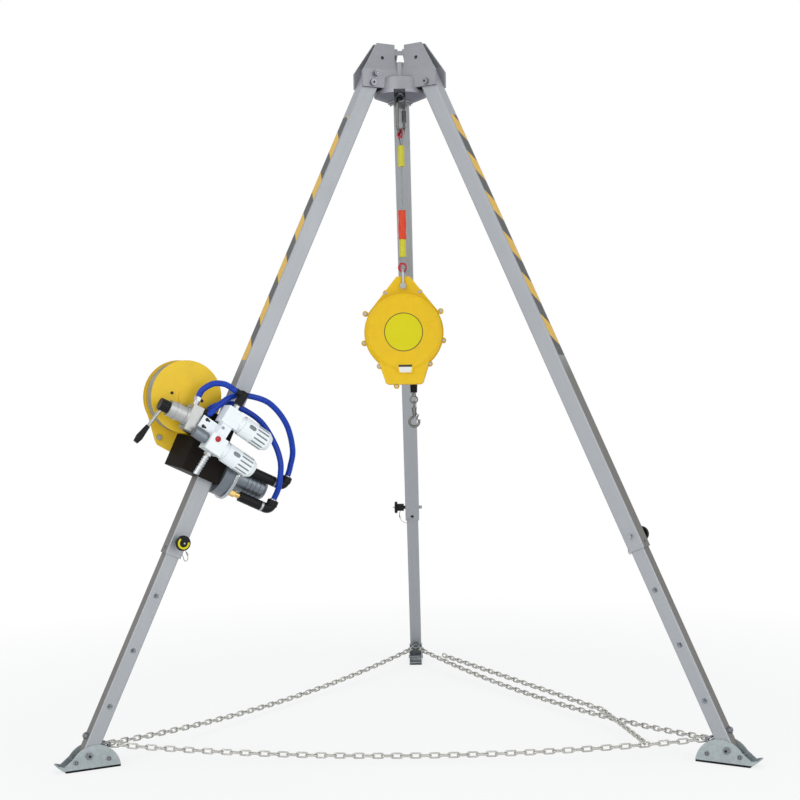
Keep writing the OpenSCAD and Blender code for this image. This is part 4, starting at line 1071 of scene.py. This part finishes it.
@dataclass
class LegTrim:
    """One telescoping leg: tubes, tape, pin, lanyard and foot."""

    shop: Workshop
    fasteners: Fasteners
    leg: Leg
    tube_half: float = 25.0
    inner_half: float = 21.0
    pin_drop: float = 1529.0
    flange_face: float = 64.8
    ring_radii: tuple[float, float] = (17.5, 12.0)
    ring_steps: int = 40
    hole_pitch: float = 165.5
    spare_holes: tuple[int, ...] = (1, 2, 3)
    foot_r: float = 1034.512
    foot_h: float = 40.0
    shoe_half: float = 24.0
    bolt_head: float = 8.0
    rivet_head: float = 3.0
    rivet_drop: float = 14.0
    rivets: tuple[float, float] = (-56.0, 37.0)
    tape_span: tuple[float, float] = (130.0, 960.0)
    tape_half: float = 19.0
    tape_film: float = 0.3
    wire_d: float = 2.0
    crimp_r: float = 2.3

    EYELET = ((6.4, -0.2), (8.6, -0.2), (8.6, 0.12), (8.2, 0.26), (6.8, 0.26), (6.4, 0.1))
    LINER = ((6.5, -24.0), (7.6, -24.0), (7.6, -3.1), (6.5, -3.1))
    # Painted shade: a dark disc in each foot bolt's socket and a dark ring in each rivet's dimple.
    SOCKET = ((4.4, -0.1), (4.4, 0.15))
    DIMPLE = ((3.2, -0.1), (4.6, -0.1), (4.6, 0.15), (3.2, 0.15))
    LANYARD = ((-10, 45, -1541), (-20, 47, -1546), (-32, 45, -1555), (-40, 36, -1566), (-42, 21, -1572),
               (-40, 9, -1569), (-36, 2, -1561), (-30, 0, -1556), (-22.3, 0, -1555))
    CRIMP = slice(8, 13)

    def build(self) -> None:
        """Dress the leg."""
        side, paint = self.leg.name, self.shop.paint
        paint(Palette.tube(side), f"upper_tube_{side}", f"lower_tube_{side}")
        paint(Palette.zinc, f"chain_eye_{side}", f"foot_pins_{side}", f"lock_pin_{side}")
        paint(Palette.shoe, f"foot_shoe_{side}")
        paint(Palette.rubber, f"foot_pad_{side}")
        paint(Palette.pin, f"adjusting_pin_{side}")
        paint(Palette.steel, f"pin_button_{side}")
        for dress in (self.tape, self.pin_ring, self.lanyard, self.eyelets, self.sockets):
            dress()

    def tape(self) -> None:
        """Hazard tape on the outer face of the upper tube."""
        side, (near, far), half = self.leg.name, self.tape_span, self.tape_half
        outline = [(near, -half), (far, -half), (far, half), (near, half)]
        back = self.tube_half + LIFT
        strip = Stock().slab(self.leg.frame @ spin(90.0, "Y"), outline, back, back + self.tape_film, 0.1)
        self.shop.make(f"tape_{side}", strip, Palette.tape(side), f"leg_upper_{side}", smooth=None)

    def pin_ring(self) -> None:
        """Plain yellow ring on two thirds of the face of the pin's flange."""
        side, (outer, inner), stock = self.leg.name, self.ring_radii, Stock()
        frame = self.leg.frame @ move(0.0, self.flange_face, -self.pin_drop) @ FACING[1]
        arc = [math.radians(240 * i / self.ring_steps - 30) for i in range(self.ring_steps + 1)]
        for a, b in zip(arc, arc[1:]):
            corners = ((outer, a), (outer, b), (inner, b), (inner, a))
            stock.slab(frame, [(r * math.cos(t), r * math.sin(t)) for r, t in corners], LIFT, 0.4)
        self.shop.make(f"pin_ring_{side}", stock, Palette.label, f"pin_{side}", smooth=None)

    def lanyard(self) -> None:
        """Wire lanyard from the pin's grip to the tube behind it, with its crimp."""
        side, path = self.leg.name, spline([self.leg.at(*p) for p in self.LANYARD])
        wire = Stock().tube(path, self.wire_d / 2, 8)
        sleeve = Stock().tube(path[self.CRIMP], self.crimp_r, 10)
        piece = wire.build(f"lanyard_{side}", self.shop.material(Palette.wire), SMOOTH)
        crimp = self.shop.make(f"crimp_{side}", sleeve, Palette.zinc, f"pin_{side}")
        tuple(self.leg.at(*self.LANYARD[5]))
        tuple(self.leg.at(*self.LANYARD[1]))
        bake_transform(piece)

    def eyelets(self) -> None:
        """Flush steel eyelets round the spare holes of the lower tube, each with a liner behind the wall."""
        drops = [self.pin_drop + i * self.hole_pitch for i in self.spare_holes]
        places = [self.leg.frame @ move(0.0, side * self.inner_half, -drop) @ turn
                  for drop in drops for side, turn in FACING.items()]
        for name, profile, finish in (("eyelets", self.EYELET, Palette.eyelet),
                                      ("liners", self.LINER, Palette.liner)):
            form, leg = Stock().lathe(ORIGIN, profile, 32, hollow=True), self.leg.name
            self.fasteners.spread(f"{name}_{leg}", form, places, finish, f"leg_lower_{leg}")

    def sockets(self) -> None:
        """Painted shade: dark hexagons in the sockets of the foot bolts and dark rings in the dimples of the
        shoe's rivets.
        """
        frame, name = self.leg.turn @ move(self.foot_r, 0.0, self.foot_h), self.leg.name
        bolts = [frame @ move(0.0, side * (self.shoe_half + self.bolt_head), 0.0) @ turn
                 for side, turn in FACING.items()]
        hexagon = Stock().lathe(ORIGIN, self.SOCKET, 6)
        self.fasteners.spread(f"foot_sockets_{name}", hexagon, bolts, Palette.shade, f"foot_{name}", CRISP)
        rivets = [frame @ move(x, side * (self.shoe_half + self.rivet_head), -self.rivet_drop) @ turn
                  for x in self.rivets for side, turn in FACING.items()]
        dimple = Stock().lathe(ORIGIN, self.DIMPLE, 24, hollow=True)
        self.fasteners.spread(f"rivet_rings_{name}", dimple, rivets, Palette.shade, f"foot_{name}", CRISP)


@dataclass
class Arrester:
    """The hanging fall arrester: carabiner, sling, casing, lifeline and hook."""

    shop: Workshop
    casing_z: float = 1231.885
    face_y: float = -56.0
    eye_top: float = 1861.885
    eye_low: float = 1437.885
    eye_r: float = 15.2
    eye_gap: float = 39.0
    eye_lead: float = -18.17
    eye_turns: tuple[float, float] = (-55.0, -25.0)
    eye_tails: tuple[float, float] = (5.0, 9.0)
    eye_lap: float = 64.0
    leg_side: float = 3.2
    rope_d: float = 6.0
    rope_lay: float = 36.0
    rope_step: float = 2.0
    sleeve_rows: int = 36
    gate: tuple[float, float, float] = (10.0, 17.321, 1894.68)
    rib_r: float = 86.0
    neck: tuple[float, float, float] = (4.0, -114.0, 0.0)

    # Name, finish, lower and upper end, radius and depth of the creases.
    SLEEVES = (("sleeve_top", Palette.lemon, 1756.9, 1822.9, 10.6, 0.5),
               ("sleeve_mid", Palette.orange, 1527.2, 1618.2, 12.4, 1.0),
               ("sleeve_low", Palette.lemon, 1470.9, 1526.9, 10.6, 0.5))
    GATE_RIB = ((7.3, 0.0), (8.1, 0.5), (8.1, 1.3), (7.3, 1.8))
    LABEL_RIM = ((58.2, LIFT), (60.4, LIFT), (60.4, 0.5), (58.2, 0.5))
    LABEL_FACE = ((57.8, LIFT), (57.8, 0.4))
    RIB_ANGLES = (10.0, 20.0, 30.0, 170.0, 180.0, 190.0)
    PLATE_PAD = ((-24.0, -14.5), (24.0, -14.5), (26.0, 14.5), (-26.0, 14.5))
    PLATE_FACE = ((-18.0, -12.0), (18.0, -12.0), (20.5, 5.0), (-20.5, 5.0))
    PLATE_BAND = ((-20.7, 5.2), (20.7, 5.2), (21.5, 12.0), (-21.5, 12.0))

    def build(self) -> None:
        """Dress the arrester."""
        paint = self.shop.paint
        paint(Palette.polished, "carabiner", "carabiner_gate", "lifeline", "snap_hook", "hook_gate")
        paint(Palette.steel, "hanger_shackle", "casing_screws", "drum_axle")
        paint(Palette.red, "sling_thimbles")
        paint(Palette.enamel, "casing_front", "casing_rear")
        paint(Palette.drum, "cable_drum")
        paint(Palette.rubber, "bumper")
        for dress in (self.sling, self.sleeves, self.label, self.plate, self.gate_sleeve):
            dress()

    @property
    def front(self) -> Matrix:
        """Frame of the casing's front face, with Z out of it."""
        return move(0.0, self.face_y, self.casing_z) @ FACING[-1]

    def eye(self, height: float, turn: float, way: float) -> list[Vector]:
        """Centre line of one eye of the sling, from one leg round the thimble to the other.

        Args:
            height: height of the thimble's middle.
            turn: the eye's turn about the sling, in degrees.
            way: 1 for an eye at the top, -1 for one at the bottom.

        Returns:
            The line's points, in metres.
        """
        lead, side, foot, steps = math.radians(self.eye_lead), self.leg_side, -self.eye_gap, 28
        arc = [math.pi - lead - (math.pi - 2 * lead) * i / steps for i in range(steps + 1)]
        bow = [(self.eye_r * math.cos(a), self.eye_r * math.sin(a)) for a in arc]
        first, last = self.eye_tails
        flat = [(-side, foot - first), (-side, foot), *bow, (side, foot), (side, foot - last)]
        return [spin(turn, "Z") @ Vector((x * MM, 0.0, (height + way * z) * MM)) for x, z in flat]

    def sling(self) -> None:
        """The wire rope sling: one laid rope that runs round both thimbles."""
        run = [Vector((0.0, 0.0, z * MM)) for z in (self.eye_top - self.eye_lap, self.eye_low + self.eye_lap)]
        top_turn, low_turn = self.eye_turns
        top, low = self.eye(self.eye_top, top_turn, 1.0), self.eye(self.eye_low, low_turn, -1.0)
        path = evenly(top + run + low[::-1], self.rope_step * MM)
        rope = Stock().tube(path, self.rope_d / 2, 24, self.rope_lay)
        piece = self.shop.make("sling_line", rope, Palette.sling, "sling", "wire_rope", SOFT)
        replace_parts(piece, "sling_rope")

    def sleeves(self) -> None:
        """Crumpled shrink sleeves over the sling, in place of the plain solids."""
        for name, finish, low, high, r, rough in self.SLEEVES:
            def wobble(a: float, h: float, amount: float = rough, start: float = low) -> float:
                """Creases round and along a sleeve.

                Args:
                    a: angle round it, in radians.
                    h: height.
                    amount: depth of the creases.
                    start: where the pattern starts.

                Returns:
                    The extra radius.
                """
                slant = math.sin(3 * a + 0.19 * h + start) * math.sin(0.31 * h + 1.7 * math.sin(a))
                return amount * (0.55 * slant + 0.35 * math.sin(5 * a - 0.13 * h)
                                 + 0.25 * math.sin(0.9 * h + 2 * a))

            rows = self.sleeve_rows
            wall = [(r, low + 1 + (high - low - 2) * i / rows) for i in range(rows + 1)]
            profile = [(r - 3.0, low), (r - 0.8, low), *wall, (r - 0.8, high), (r - 3.0, high)]
            stock = Stock().lathe(ORIGIN, profile, 40, wobble=wobble)
            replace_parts(self.shop.make(name, stock, finish, "sling", "sleeve_orange", SOFT), "sling_sleeves")

    def label(self) -> None:
        """Bare round label with a dark rim, and the short ribs beside it."""
        rim = Stock().lathe(self.front, self.LABEL_RIM, 96, hollow=True)
        disc, ribs = Stock().lathe(self.front, self.LABEL_FACE, 96), Stock()
        self.shop.make("label_rim", rim, Palette.ink, "arrester")
        self.shop.make("label_face", disc, Palette.label, "arrester")
        for angle in self.RIB_ANGLES:
            place = self.front @ spin(angle, "Z") @ move(self.rib_r, 0.0, 0.0)
            ribs.slab(place, stadium(20.0, 3.0), 0.0, 0.9, 0.5)
        self.shop.make("casing_ribs", ribs, Palette.enamel, "arrester", "arrester_yellow")

    def plate(self) -> None:
        """Bare plate on the neck of the casing, on its raised pad."""
        neck, pad_face = self.front @ move(*self.neck), 0.3
        pad = Stock().slab(neck, self.PLATE_PAD, -5.2, pad_face, 0.6)
        self.shop.make("plate_pad", pad, Palette.enamel, "arrester", "arrester_yellow", 30.0)
        for name, outline, finish in (("plate_face", self.PLATE_FACE, Palette.plate),
                                      ("plate_band", self.PLATE_BAND, Palette.ink)):
            stock = Stock().slab(neck, outline, pad_face + LIFT, 0.7, 0.1)
            self.shop.make(name, stock, finish, "arrester", smooth=None)

    def gate_sleeve(self) -> None:
        """Ribbed locking sleeve on the carabiner's gate."""
        ribs = [(r, h + rise) for h in range(6, 40, 2) for r, rise in self.GATE_RIB]
        profile = [(4.6, 4.4), (7.3, 4.4), *ribs, (7.3, 41.0), (4.6, 41.0)]
        stock = Stock().lathe(move(*self.gate), profile, 32, hollow=True)
        self.shop.make("gate_sleeve", stock, Palette.polished, "gate", smooth=25.0)


@dataclass
class Winch:
    """The air winch on the left leg: drum, motor, valve, filter units and hoses."""

    shop: Workshop
    fasteners: Fasteners
    leg: Leg = LEGS["left"]
    body: str = "leg_upper_left"
    hose_d: float = 17.5
    drum_u: float = 152.0
    drum_w: float = -1138.0
    rope_d: float = 4.8
    rope_lay: float = 30.0
    rope_turns: int = 9
    rope_steps: int = 210
    rope_r: float = 100.56
    rope_pitch: float = 5.35556
    rope_start: float = -23.1
    port_v: float = 42.0
    elbow_r: float = 16.0
    jacket_r: float = 15.0
    jacket_top: float = 24.0
    cuff_r: float = 17.0
    cuff: tuple[float, ...] = (12.0, 13.0, 29.0)
    collar_r: float = 15.5
    collar: tuple[float, float] = (18.0, 11.0)
    mouth_r: float = 12.6
    mouth: tuple[float, float] = (29.05, 32.0)
    unit_place: tuple[float, float, float] = (51.0, 118.0, -1241.0)
    unit_tilt: float = -9.0
    unit_pitch: float = 90.0
    bowl_r: float = 30.0
    guards: int = 14
    inlet_foot: float = -76.0
    dot_place: tuple[float, float, float] = (6.0, 26.0, 14.0)
    screw_place: tuple[float, float, float] = (8.0, 18.0, 50.0)
    slot_shift: float = 4.2
    gear_place: tuple[float, float, float] = (-66.0, 0.0, -1290.0)
    lever_hub: tuple[float, float, float] = (218.3, 76.0, -1195.0)
    lever_way: tuple[float, float] = (0.2588, -0.9659)
    rod_stops: tuple[float, ...] = (18.3, 19.0, 73.0, 73.8)
    rod_r: float = 4.8

    ROUTES = (
        ((99, 90, -1165), (88, 90, -1162.8), (74, 89, -1133), (48, 88, -1091), (8, 88, -1069),
         (-67, 88, -1059), (-145, 80, -1091), (-203, 62, -1149), (-223, 47, -1197), (-228, 42, -1218),
         (-228, 42, -1230)),
        ((99, 64, -1165), (88, 64, -1162.8), (80, 66, -1138), (40, 66, -1108), (-3, 66, -1105),
         (-74, 66, -1116), (-139, 67, -1156), (-180, 68, -1200), (-200, 66, -1246), (-208, 61, -1268),
         (-214, 49, -1287), (-216, 42, -1299), (-216, 42, -1311)),
        ((51.0, 118, -1074.9), (64.9, 118, -1072.8), (87, 105, -1069), (113, 92, -1079), (130, 80, -1102),
         (134, 76, -1117), (134, 76, -1131)))
    # Start and end along u, and height, of each pipe.
    PIPES = ((-111.0, -200.0, -1339.0), (-93.0, -212.0, -1258.0))
    # Middle along the bowl, length and width.
    WINDOW = (-66.0, 24.0, 13.0)
    GUARD = (-103.0, 40.0, 4.6)
    WINDOW_ANGLES = (0.25, math.pi + 0.25)
    BARB = ((8.0, 0.0), (9.4, 6.0), (7.9, 6.3))
    BARB_FEET = (-24.0, -16.0, -8.0)
    DRUM_SCREWS = ((198.0, 32.0, -1146.0), (106.0, 32.0, -1130.0), (148.0, 32.0, -1184.0))
    PLATE_NUT = (160.0, -36.0, -1270.0)
    SLOTS = ((53.0, -7.0, 27.0), (53.0, -7.0, 49.0))
    GEAR_RIM = ((69.0, -0.1), (74.6, -0.1), (75.4, 0.8), (75.4, 9.4), (74.6, 10.2), (60.0, 10.2))
    SCREW_CAP = ((0.01, 0.0), (4.6, 0.0), (4.6, 1.2), (3.6, 2.0), (0.01, 2.0))
    NUT = ((0.01, 0.0), (8.5, 0.0), (8.5, 5.0), (7.4, 6.0), (0.01, 6.0))
    DOT_RIM = ((8.8, 0.0), (11.0, 0.0), (11.0, 1.2), (10.4, 1.7), (9.2, 1.7), (8.8, 1.2))
    DOT = ((0.01, 0.0), (8.4, 0.0), (8.4, 1.0), (7.4, 1.7), (0.01, 2.0))
    KEYHOLE = ((0.01, 0.03), (5.2, 0.03), (5.2, 0.35), (0.01, 0.35))
    UNIT_SCREW = ((0.01, 0.0), (4.5, 0.0), (4.5, 1.6), (3.6, 2.2), (1.6, 2.2), (1.4, 1.2), (0.01, 1.2))

    def build(self) -> None:
        """Dress the winch."""
        paint = self.shop.paint
        paint(Palette.bracket, "winch_bracket")
        paint(Palette.winch, "winch_plate", "rope_drum")
        paint(Palette.motor, "air_motor", "regulator_knob")
        paint(Palette.valve, "valve_body")
        paint(Palette.plastic, "valve_lever", "black_fittings")
        paint(Palette.white, "filter_units")
        paint(Palette.nipple, "metal_nipples")
        for dress in (self.hoses, self.winding, self.bowls, self.inlet, self.unit_face, self.pipes,
                      self.lever, self.screws, self.gear_rim):
            dress()

    @property
    def units(self) -> Matrix:
        """Frame of the filter units: their bowls point along -X, and the second stands above the first."""
        return self.leg.frame @ move(*self.unit_place) @ spin(self.unit_tilt, "Y")

    def hoses(self) -> None:
        """The three air hoses, each a tube from its port to its elbow."""
        for number, route in enumerate(self.ROUTES, 1):
            path = spline([self.leg.at(*p) for p in route])
            stock = Stock().tube(path, self.hose_d / 2, 20)
            piece = self.shop.make(f"air_hose_{number}", stock, Palette.hose, self.body, "hose_blue")
            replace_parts(piece, "air_hoses")

    def winding(self) -> None:
        """The wire rope on the drum, with its strands."""
        r, path = self.rope_r, []
        for t in (i / self.rope_steps for i in range(self.rope_turns * self.rope_steps + 1)):
            a = 2 * math.pi * t
            path.append(self.leg.at(self.drum_u + r * math.cos(a), self.rope_start + self.rope_pitch * t,
                                    self.drum_w + r * math.sin(a)))
        rope = Stock().tube(path, self.rope_d / 2, 18, self.rope_lay)
        piece = self.shop.make("drum_rope", rope, Palette.rope, "winch_drum", "wire_rope", SOFT)
        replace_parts(piece, "rope_winding")

    def bowls(self) -> None:
        """Windows and guard slots of the two bowls."""
        stock = Stock()
        for rise in (0.0, self.unit_pitch):
            unit = self.units @ move(0.0, 0.0, rise)
            for angle in self.WINDOW_ANGLES:
                stock.curved_slot(unit, self.bowl_r, angle, *self.WINDOW)
            for i in range(self.guards):
                stock.curved_slot(unit, self.bowl_r, 2 * math.pi * i / self.guards, *self.GUARD)
        self.shop.make("bowl_slots", stock, Palette.window, self.body)

    def inlet(self) -> None:
        """Barbed tail below the inlet nipple."""
        barbs = [(r, h + rise) for h in self.BARB_FEET for r, rise in self.BARB]
        profile = [(0.01, self.BARB_FEET[0]), *barbs, (7.9, 1.0), (0.01, 1.0)]
        tail = Stock().lathe(self.units @ move(0.0, 0.0, self.inlet_foot), profile, 28)
        self.shop.make("inlet_tail", tail, Palette.chrome, self.body, smooth=30.0)

    def unit_face(self) -> None:
        """Red dot in its rim, painted shade of the mounting slots, and a screw on the front of the filter
        units.
        """
        make, face = self.shop.make, self.units @ move(*self.dot_place) @ FACING[1]
        rim = Stock().lathe(face, self.DOT_RIM, 40, hollow=True)
        make("dot_rim", rim, Palette.white, self.body, "unit_white")
        # The mounting slots are dark slabs and discs: painted shade of the slot openings.
        slots = Stock()
        for place in self.SLOTS:
            flat = self.units @ move(*place) @ FACING[1]
            slots.slab(flat, [(x - self.slot_shift, y) for x, y in stadium(13.0, 6.0)], 0.03, 0.3)
            slots.lathe(flat, self.KEYHOLE, 28)
        make("mount_slots", slots, Palette.shade, self.body)
        make("red_dot", Stock().lathe(face, self.DOT, 40), Palette.dot, self.body)
        screw = self.units @ move(*self.screw_place) @ FACING[1]
        make("unit_screw", Stock().lathe(screw, self.UNIT_SCREW, 24), Palette.zinc, self.body)

    def pipes(self) -> None:
        """Thick black jackets over the pipes and elbows at the motor, with steel collars."""
        jackets, collars, r = Stock(), Stock(), self.elbow_r

        def line(*points: tuple[float, float]) -> list[Vector]:
            """Centre line through points given by u and w."""
            return [self.leg.at(u, self.port_v, w) for u, w in points]

        for start, end, w in self.PIPES:
            up, turns = end - r, [math.pi / 20 * i for i in range(11)]
            bend = [(end - r * math.sin(a), w + r - r * math.cos(a)) for a in turns]
            level = [(start, w), (start - 2.0, w), (end + 8.0, w)]
            jackets.tube(line(*level, *bend, (up, w + self.jacket_top)), self.jacket_r)
            jackets.tube(line(*((up, w + h) for h in self.cuff)), self.cuff_r)
            collars.tube(line(*((end + u, w) for u in self.collar)), self.collar_r)
            collars.tube(line(*((up, w + h) for h in self.mouth)), self.mouth_r)
        self.shop.make("pipe_jackets", jackets, Palette.plastic, self.body)
        self.shop.make("pipe_collars", collars, Palette.steel, self.body)

    def lever(self) -> None:
        """Bright rod of the valve lever, between its hub and its grip."""
        (u, v, w), (du, dw) = self.lever_hub, self.lever_way
        rod = [self.leg.at(u + du * s, v, w + dw * s) for s in self.rod_stops]
        self.shop.make("lever_rod", Stock().tube(rod, self.rod_r, 20), Palette.steel, "valve_lever")

    def screws(self) -> None:
        """Small screws on the drum's face, and the nut on the side plate."""
        places = [self.leg.frame @ move(*p) @ FACING[1] for p in (*self.DRUM_SCREWS, self.PLATE_NUT)]
        cap, nut = Stock().lathe(ORIGIN, self.SCREW_CAP, 24), Stock().lathe(ORIGIN, self.NUT, 6)
        self.fasteners.spread("drum_screws", cap, places[:-1], Palette.shade, "winch_drum")
        self.fasteners.spread("plate_nut", nut, places[-1:], Palette.zinc, self.body, CRISP)

    def gear_rim(self) -> None:
        """Chrome rim between the gear case and the motor."""
        axis = self.leg.frame @ move(*self.gear_place) @ spin(-90.0, "Y")
        rim = Stock().lathe(axis, self.GEAR_RIM, 96, hollow=True)
        self.shop.make("gear_rim", rim, Palette.chrome, self.body)


@dataclass
class Studio:
    """Camera, floor, lamps and white surround; angles in radians, places in metres, power in watts."""

    yaw: float = -0.0297
    pitch: float = -0.0013
    roll: float = -0.0161
    eye: tuple[float, float, float] = (0.1138, -4.3741, 1.0254)
    sensor: float = 36.0
    focal: float = 1384.5 / 800.0
    floor_half: float = 9.0
    floor_drop: float = 0.0005

    LAMPS = (("key", (-4.2, -6.4, 4.0), (0.0, 0.0, 1.1), 5.0, 174.0),
             ("fill", (5.0, -5.0, 2.6), (0.0, 0.0, 1.0), 4.5, 114.0),
             ("top", (0.0, 0.8, 5.4), (0.0, 0.0, 1.0), 3.6, 50.0),
             ("bounce", (0.0, -2.6, 0.15), (0.0, 0.0, 2.0), 2.4, 22.0))

    def build(self) -> None:
        """Set the stage."""
        bpy.context.scene.view_settings.view_transform = "Standard"
        self.camera()
        self.floor()
        self.world()
        for name, place, aim, size, power in self.LAMPS:
            data = bpy.data.lights.new(name, "AREA")
            data.size, data.energy = size, power
            turn = (Vector(place) - Vector(aim)).to_track_quat("Z", "Y").to_matrix().to_4x4()
            place_object(name, data).matrix_world = Matrix.Translation(place) @ turn

    def camera(self) -> None:
        """Camera at the photograph's place."""
        cy, cp = math.cos(self.yaw), math.cos(self.pitch)
        ahead = Vector((math.sin(self.yaw) * cp, cy * cp, math.sin(self.pitch)))
        right = Vector((cy, -math.sin(self.yaw), 0.0))
        up = right.cross(ahead)
        c, s = math.cos(self.roll), math.sin(self.roll)
        right, up = c * right + s * up, -s * right + c * up
        data = bpy.data.cameras.new("camera")
        data.sensor_width, data.lens, data.clip_end = self.sensor, self.focal * self.sensor, 50.0
        camera = place_object("camera", data)
        camera.matrix_world = Matrix.Translation(self.eye) @ Matrix((right, up, -ahead)).transposed().to_4x4()
        bpy.context.scene.camera = camera

    def floor(self) -> None:
        """Pale floor that keeps a faint shadow."""
        mesh = bpy.data.meshes.new("floor")
        corners = [(x * self.floor_half, y * self.floor_half, -self.floor_drop)
                   for x, y in ((-1, -1), (1, -1), (1, 1), (-1, 1))]
        mesh.from_pydata(corners, [], [(0, 1, 2, 3)])
        material = bpy.data.materials.new("pale_floor")
        tree = Shader(material)
        rays = tree.add("LightPath").outputs
        white = tree.add("Emission", {"Color": (1.0, 1.0, 1.0, 1.0), "Strength": 1.0})
        pale = tree.add("BsdfDiffuse", {"Color": (0.86, 0.86, 0.86, 1.0)})
        far = tree.add("VectorMath", {0: tree.here()}, operation="LENGTH").outputs["Value"]
        seen = tree.math("MAXIMUM", rays["Is Camera Ray"], rays["Is Glossy Ray"])
        shown = tree.math("MULTIPLY", seen, tree.ramp(far, 1.2, 2.8, 0.78, 1.0))
        both = tree.add("MixShader", {0: shown, 1: pale.outputs[0], 2: white.outputs[0]})
        tree.add("OutputMaterial", {0: both.outputs[0]})
        mesh.materials.append(material)
        place_object("floor", mesh)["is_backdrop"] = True

    def world(self) -> None:
        """Soft light from all round, white where it is seen."""
        world = bpy.data.worlds.new("surround")
        bpy.context.scene.world = world
        tree = Shader(world)
        rays = tree.add("LightPath").outputs
        dim = tree.add("Background", {0: (0.9, 0.95, 1.0, 1.0), 1: 0.55})
        bright = tree.add("Background", {0: (1.0, 1.0, 1.0, 1.0), 1: 1.0})
        seen = tree.math("MAXIMUM", rays["Is Camera Ray"], rays["Is Glossy Ray"])
        shown = tree.math("MAXIMUM", seen, rays["Is Transmission Ray"])
        both = tree.add("MixShader", {0: shown, 1: dim.outputs[0], 2: bright.outputs[0]})
        tree.add("OutputWorld", {0: both.outputs[0]})


def main() -> None:
    """Build the scene."""
    logging.basicConfig(level=logging.INFO, format="%(message)s")
    shop = Workshop()
    Studio().build()
    fasteners = Fasteners(shop)
    legs = [LegTrim(shop, fasteners, leg) for leg in LEGS.values()]
    for part in (Head(shop, fasteners), *legs, ChainLinks(shop), Arrester(shop), Winch(shop, fasteners)):
        part.build()


if __name__ == "__main__":
    main()
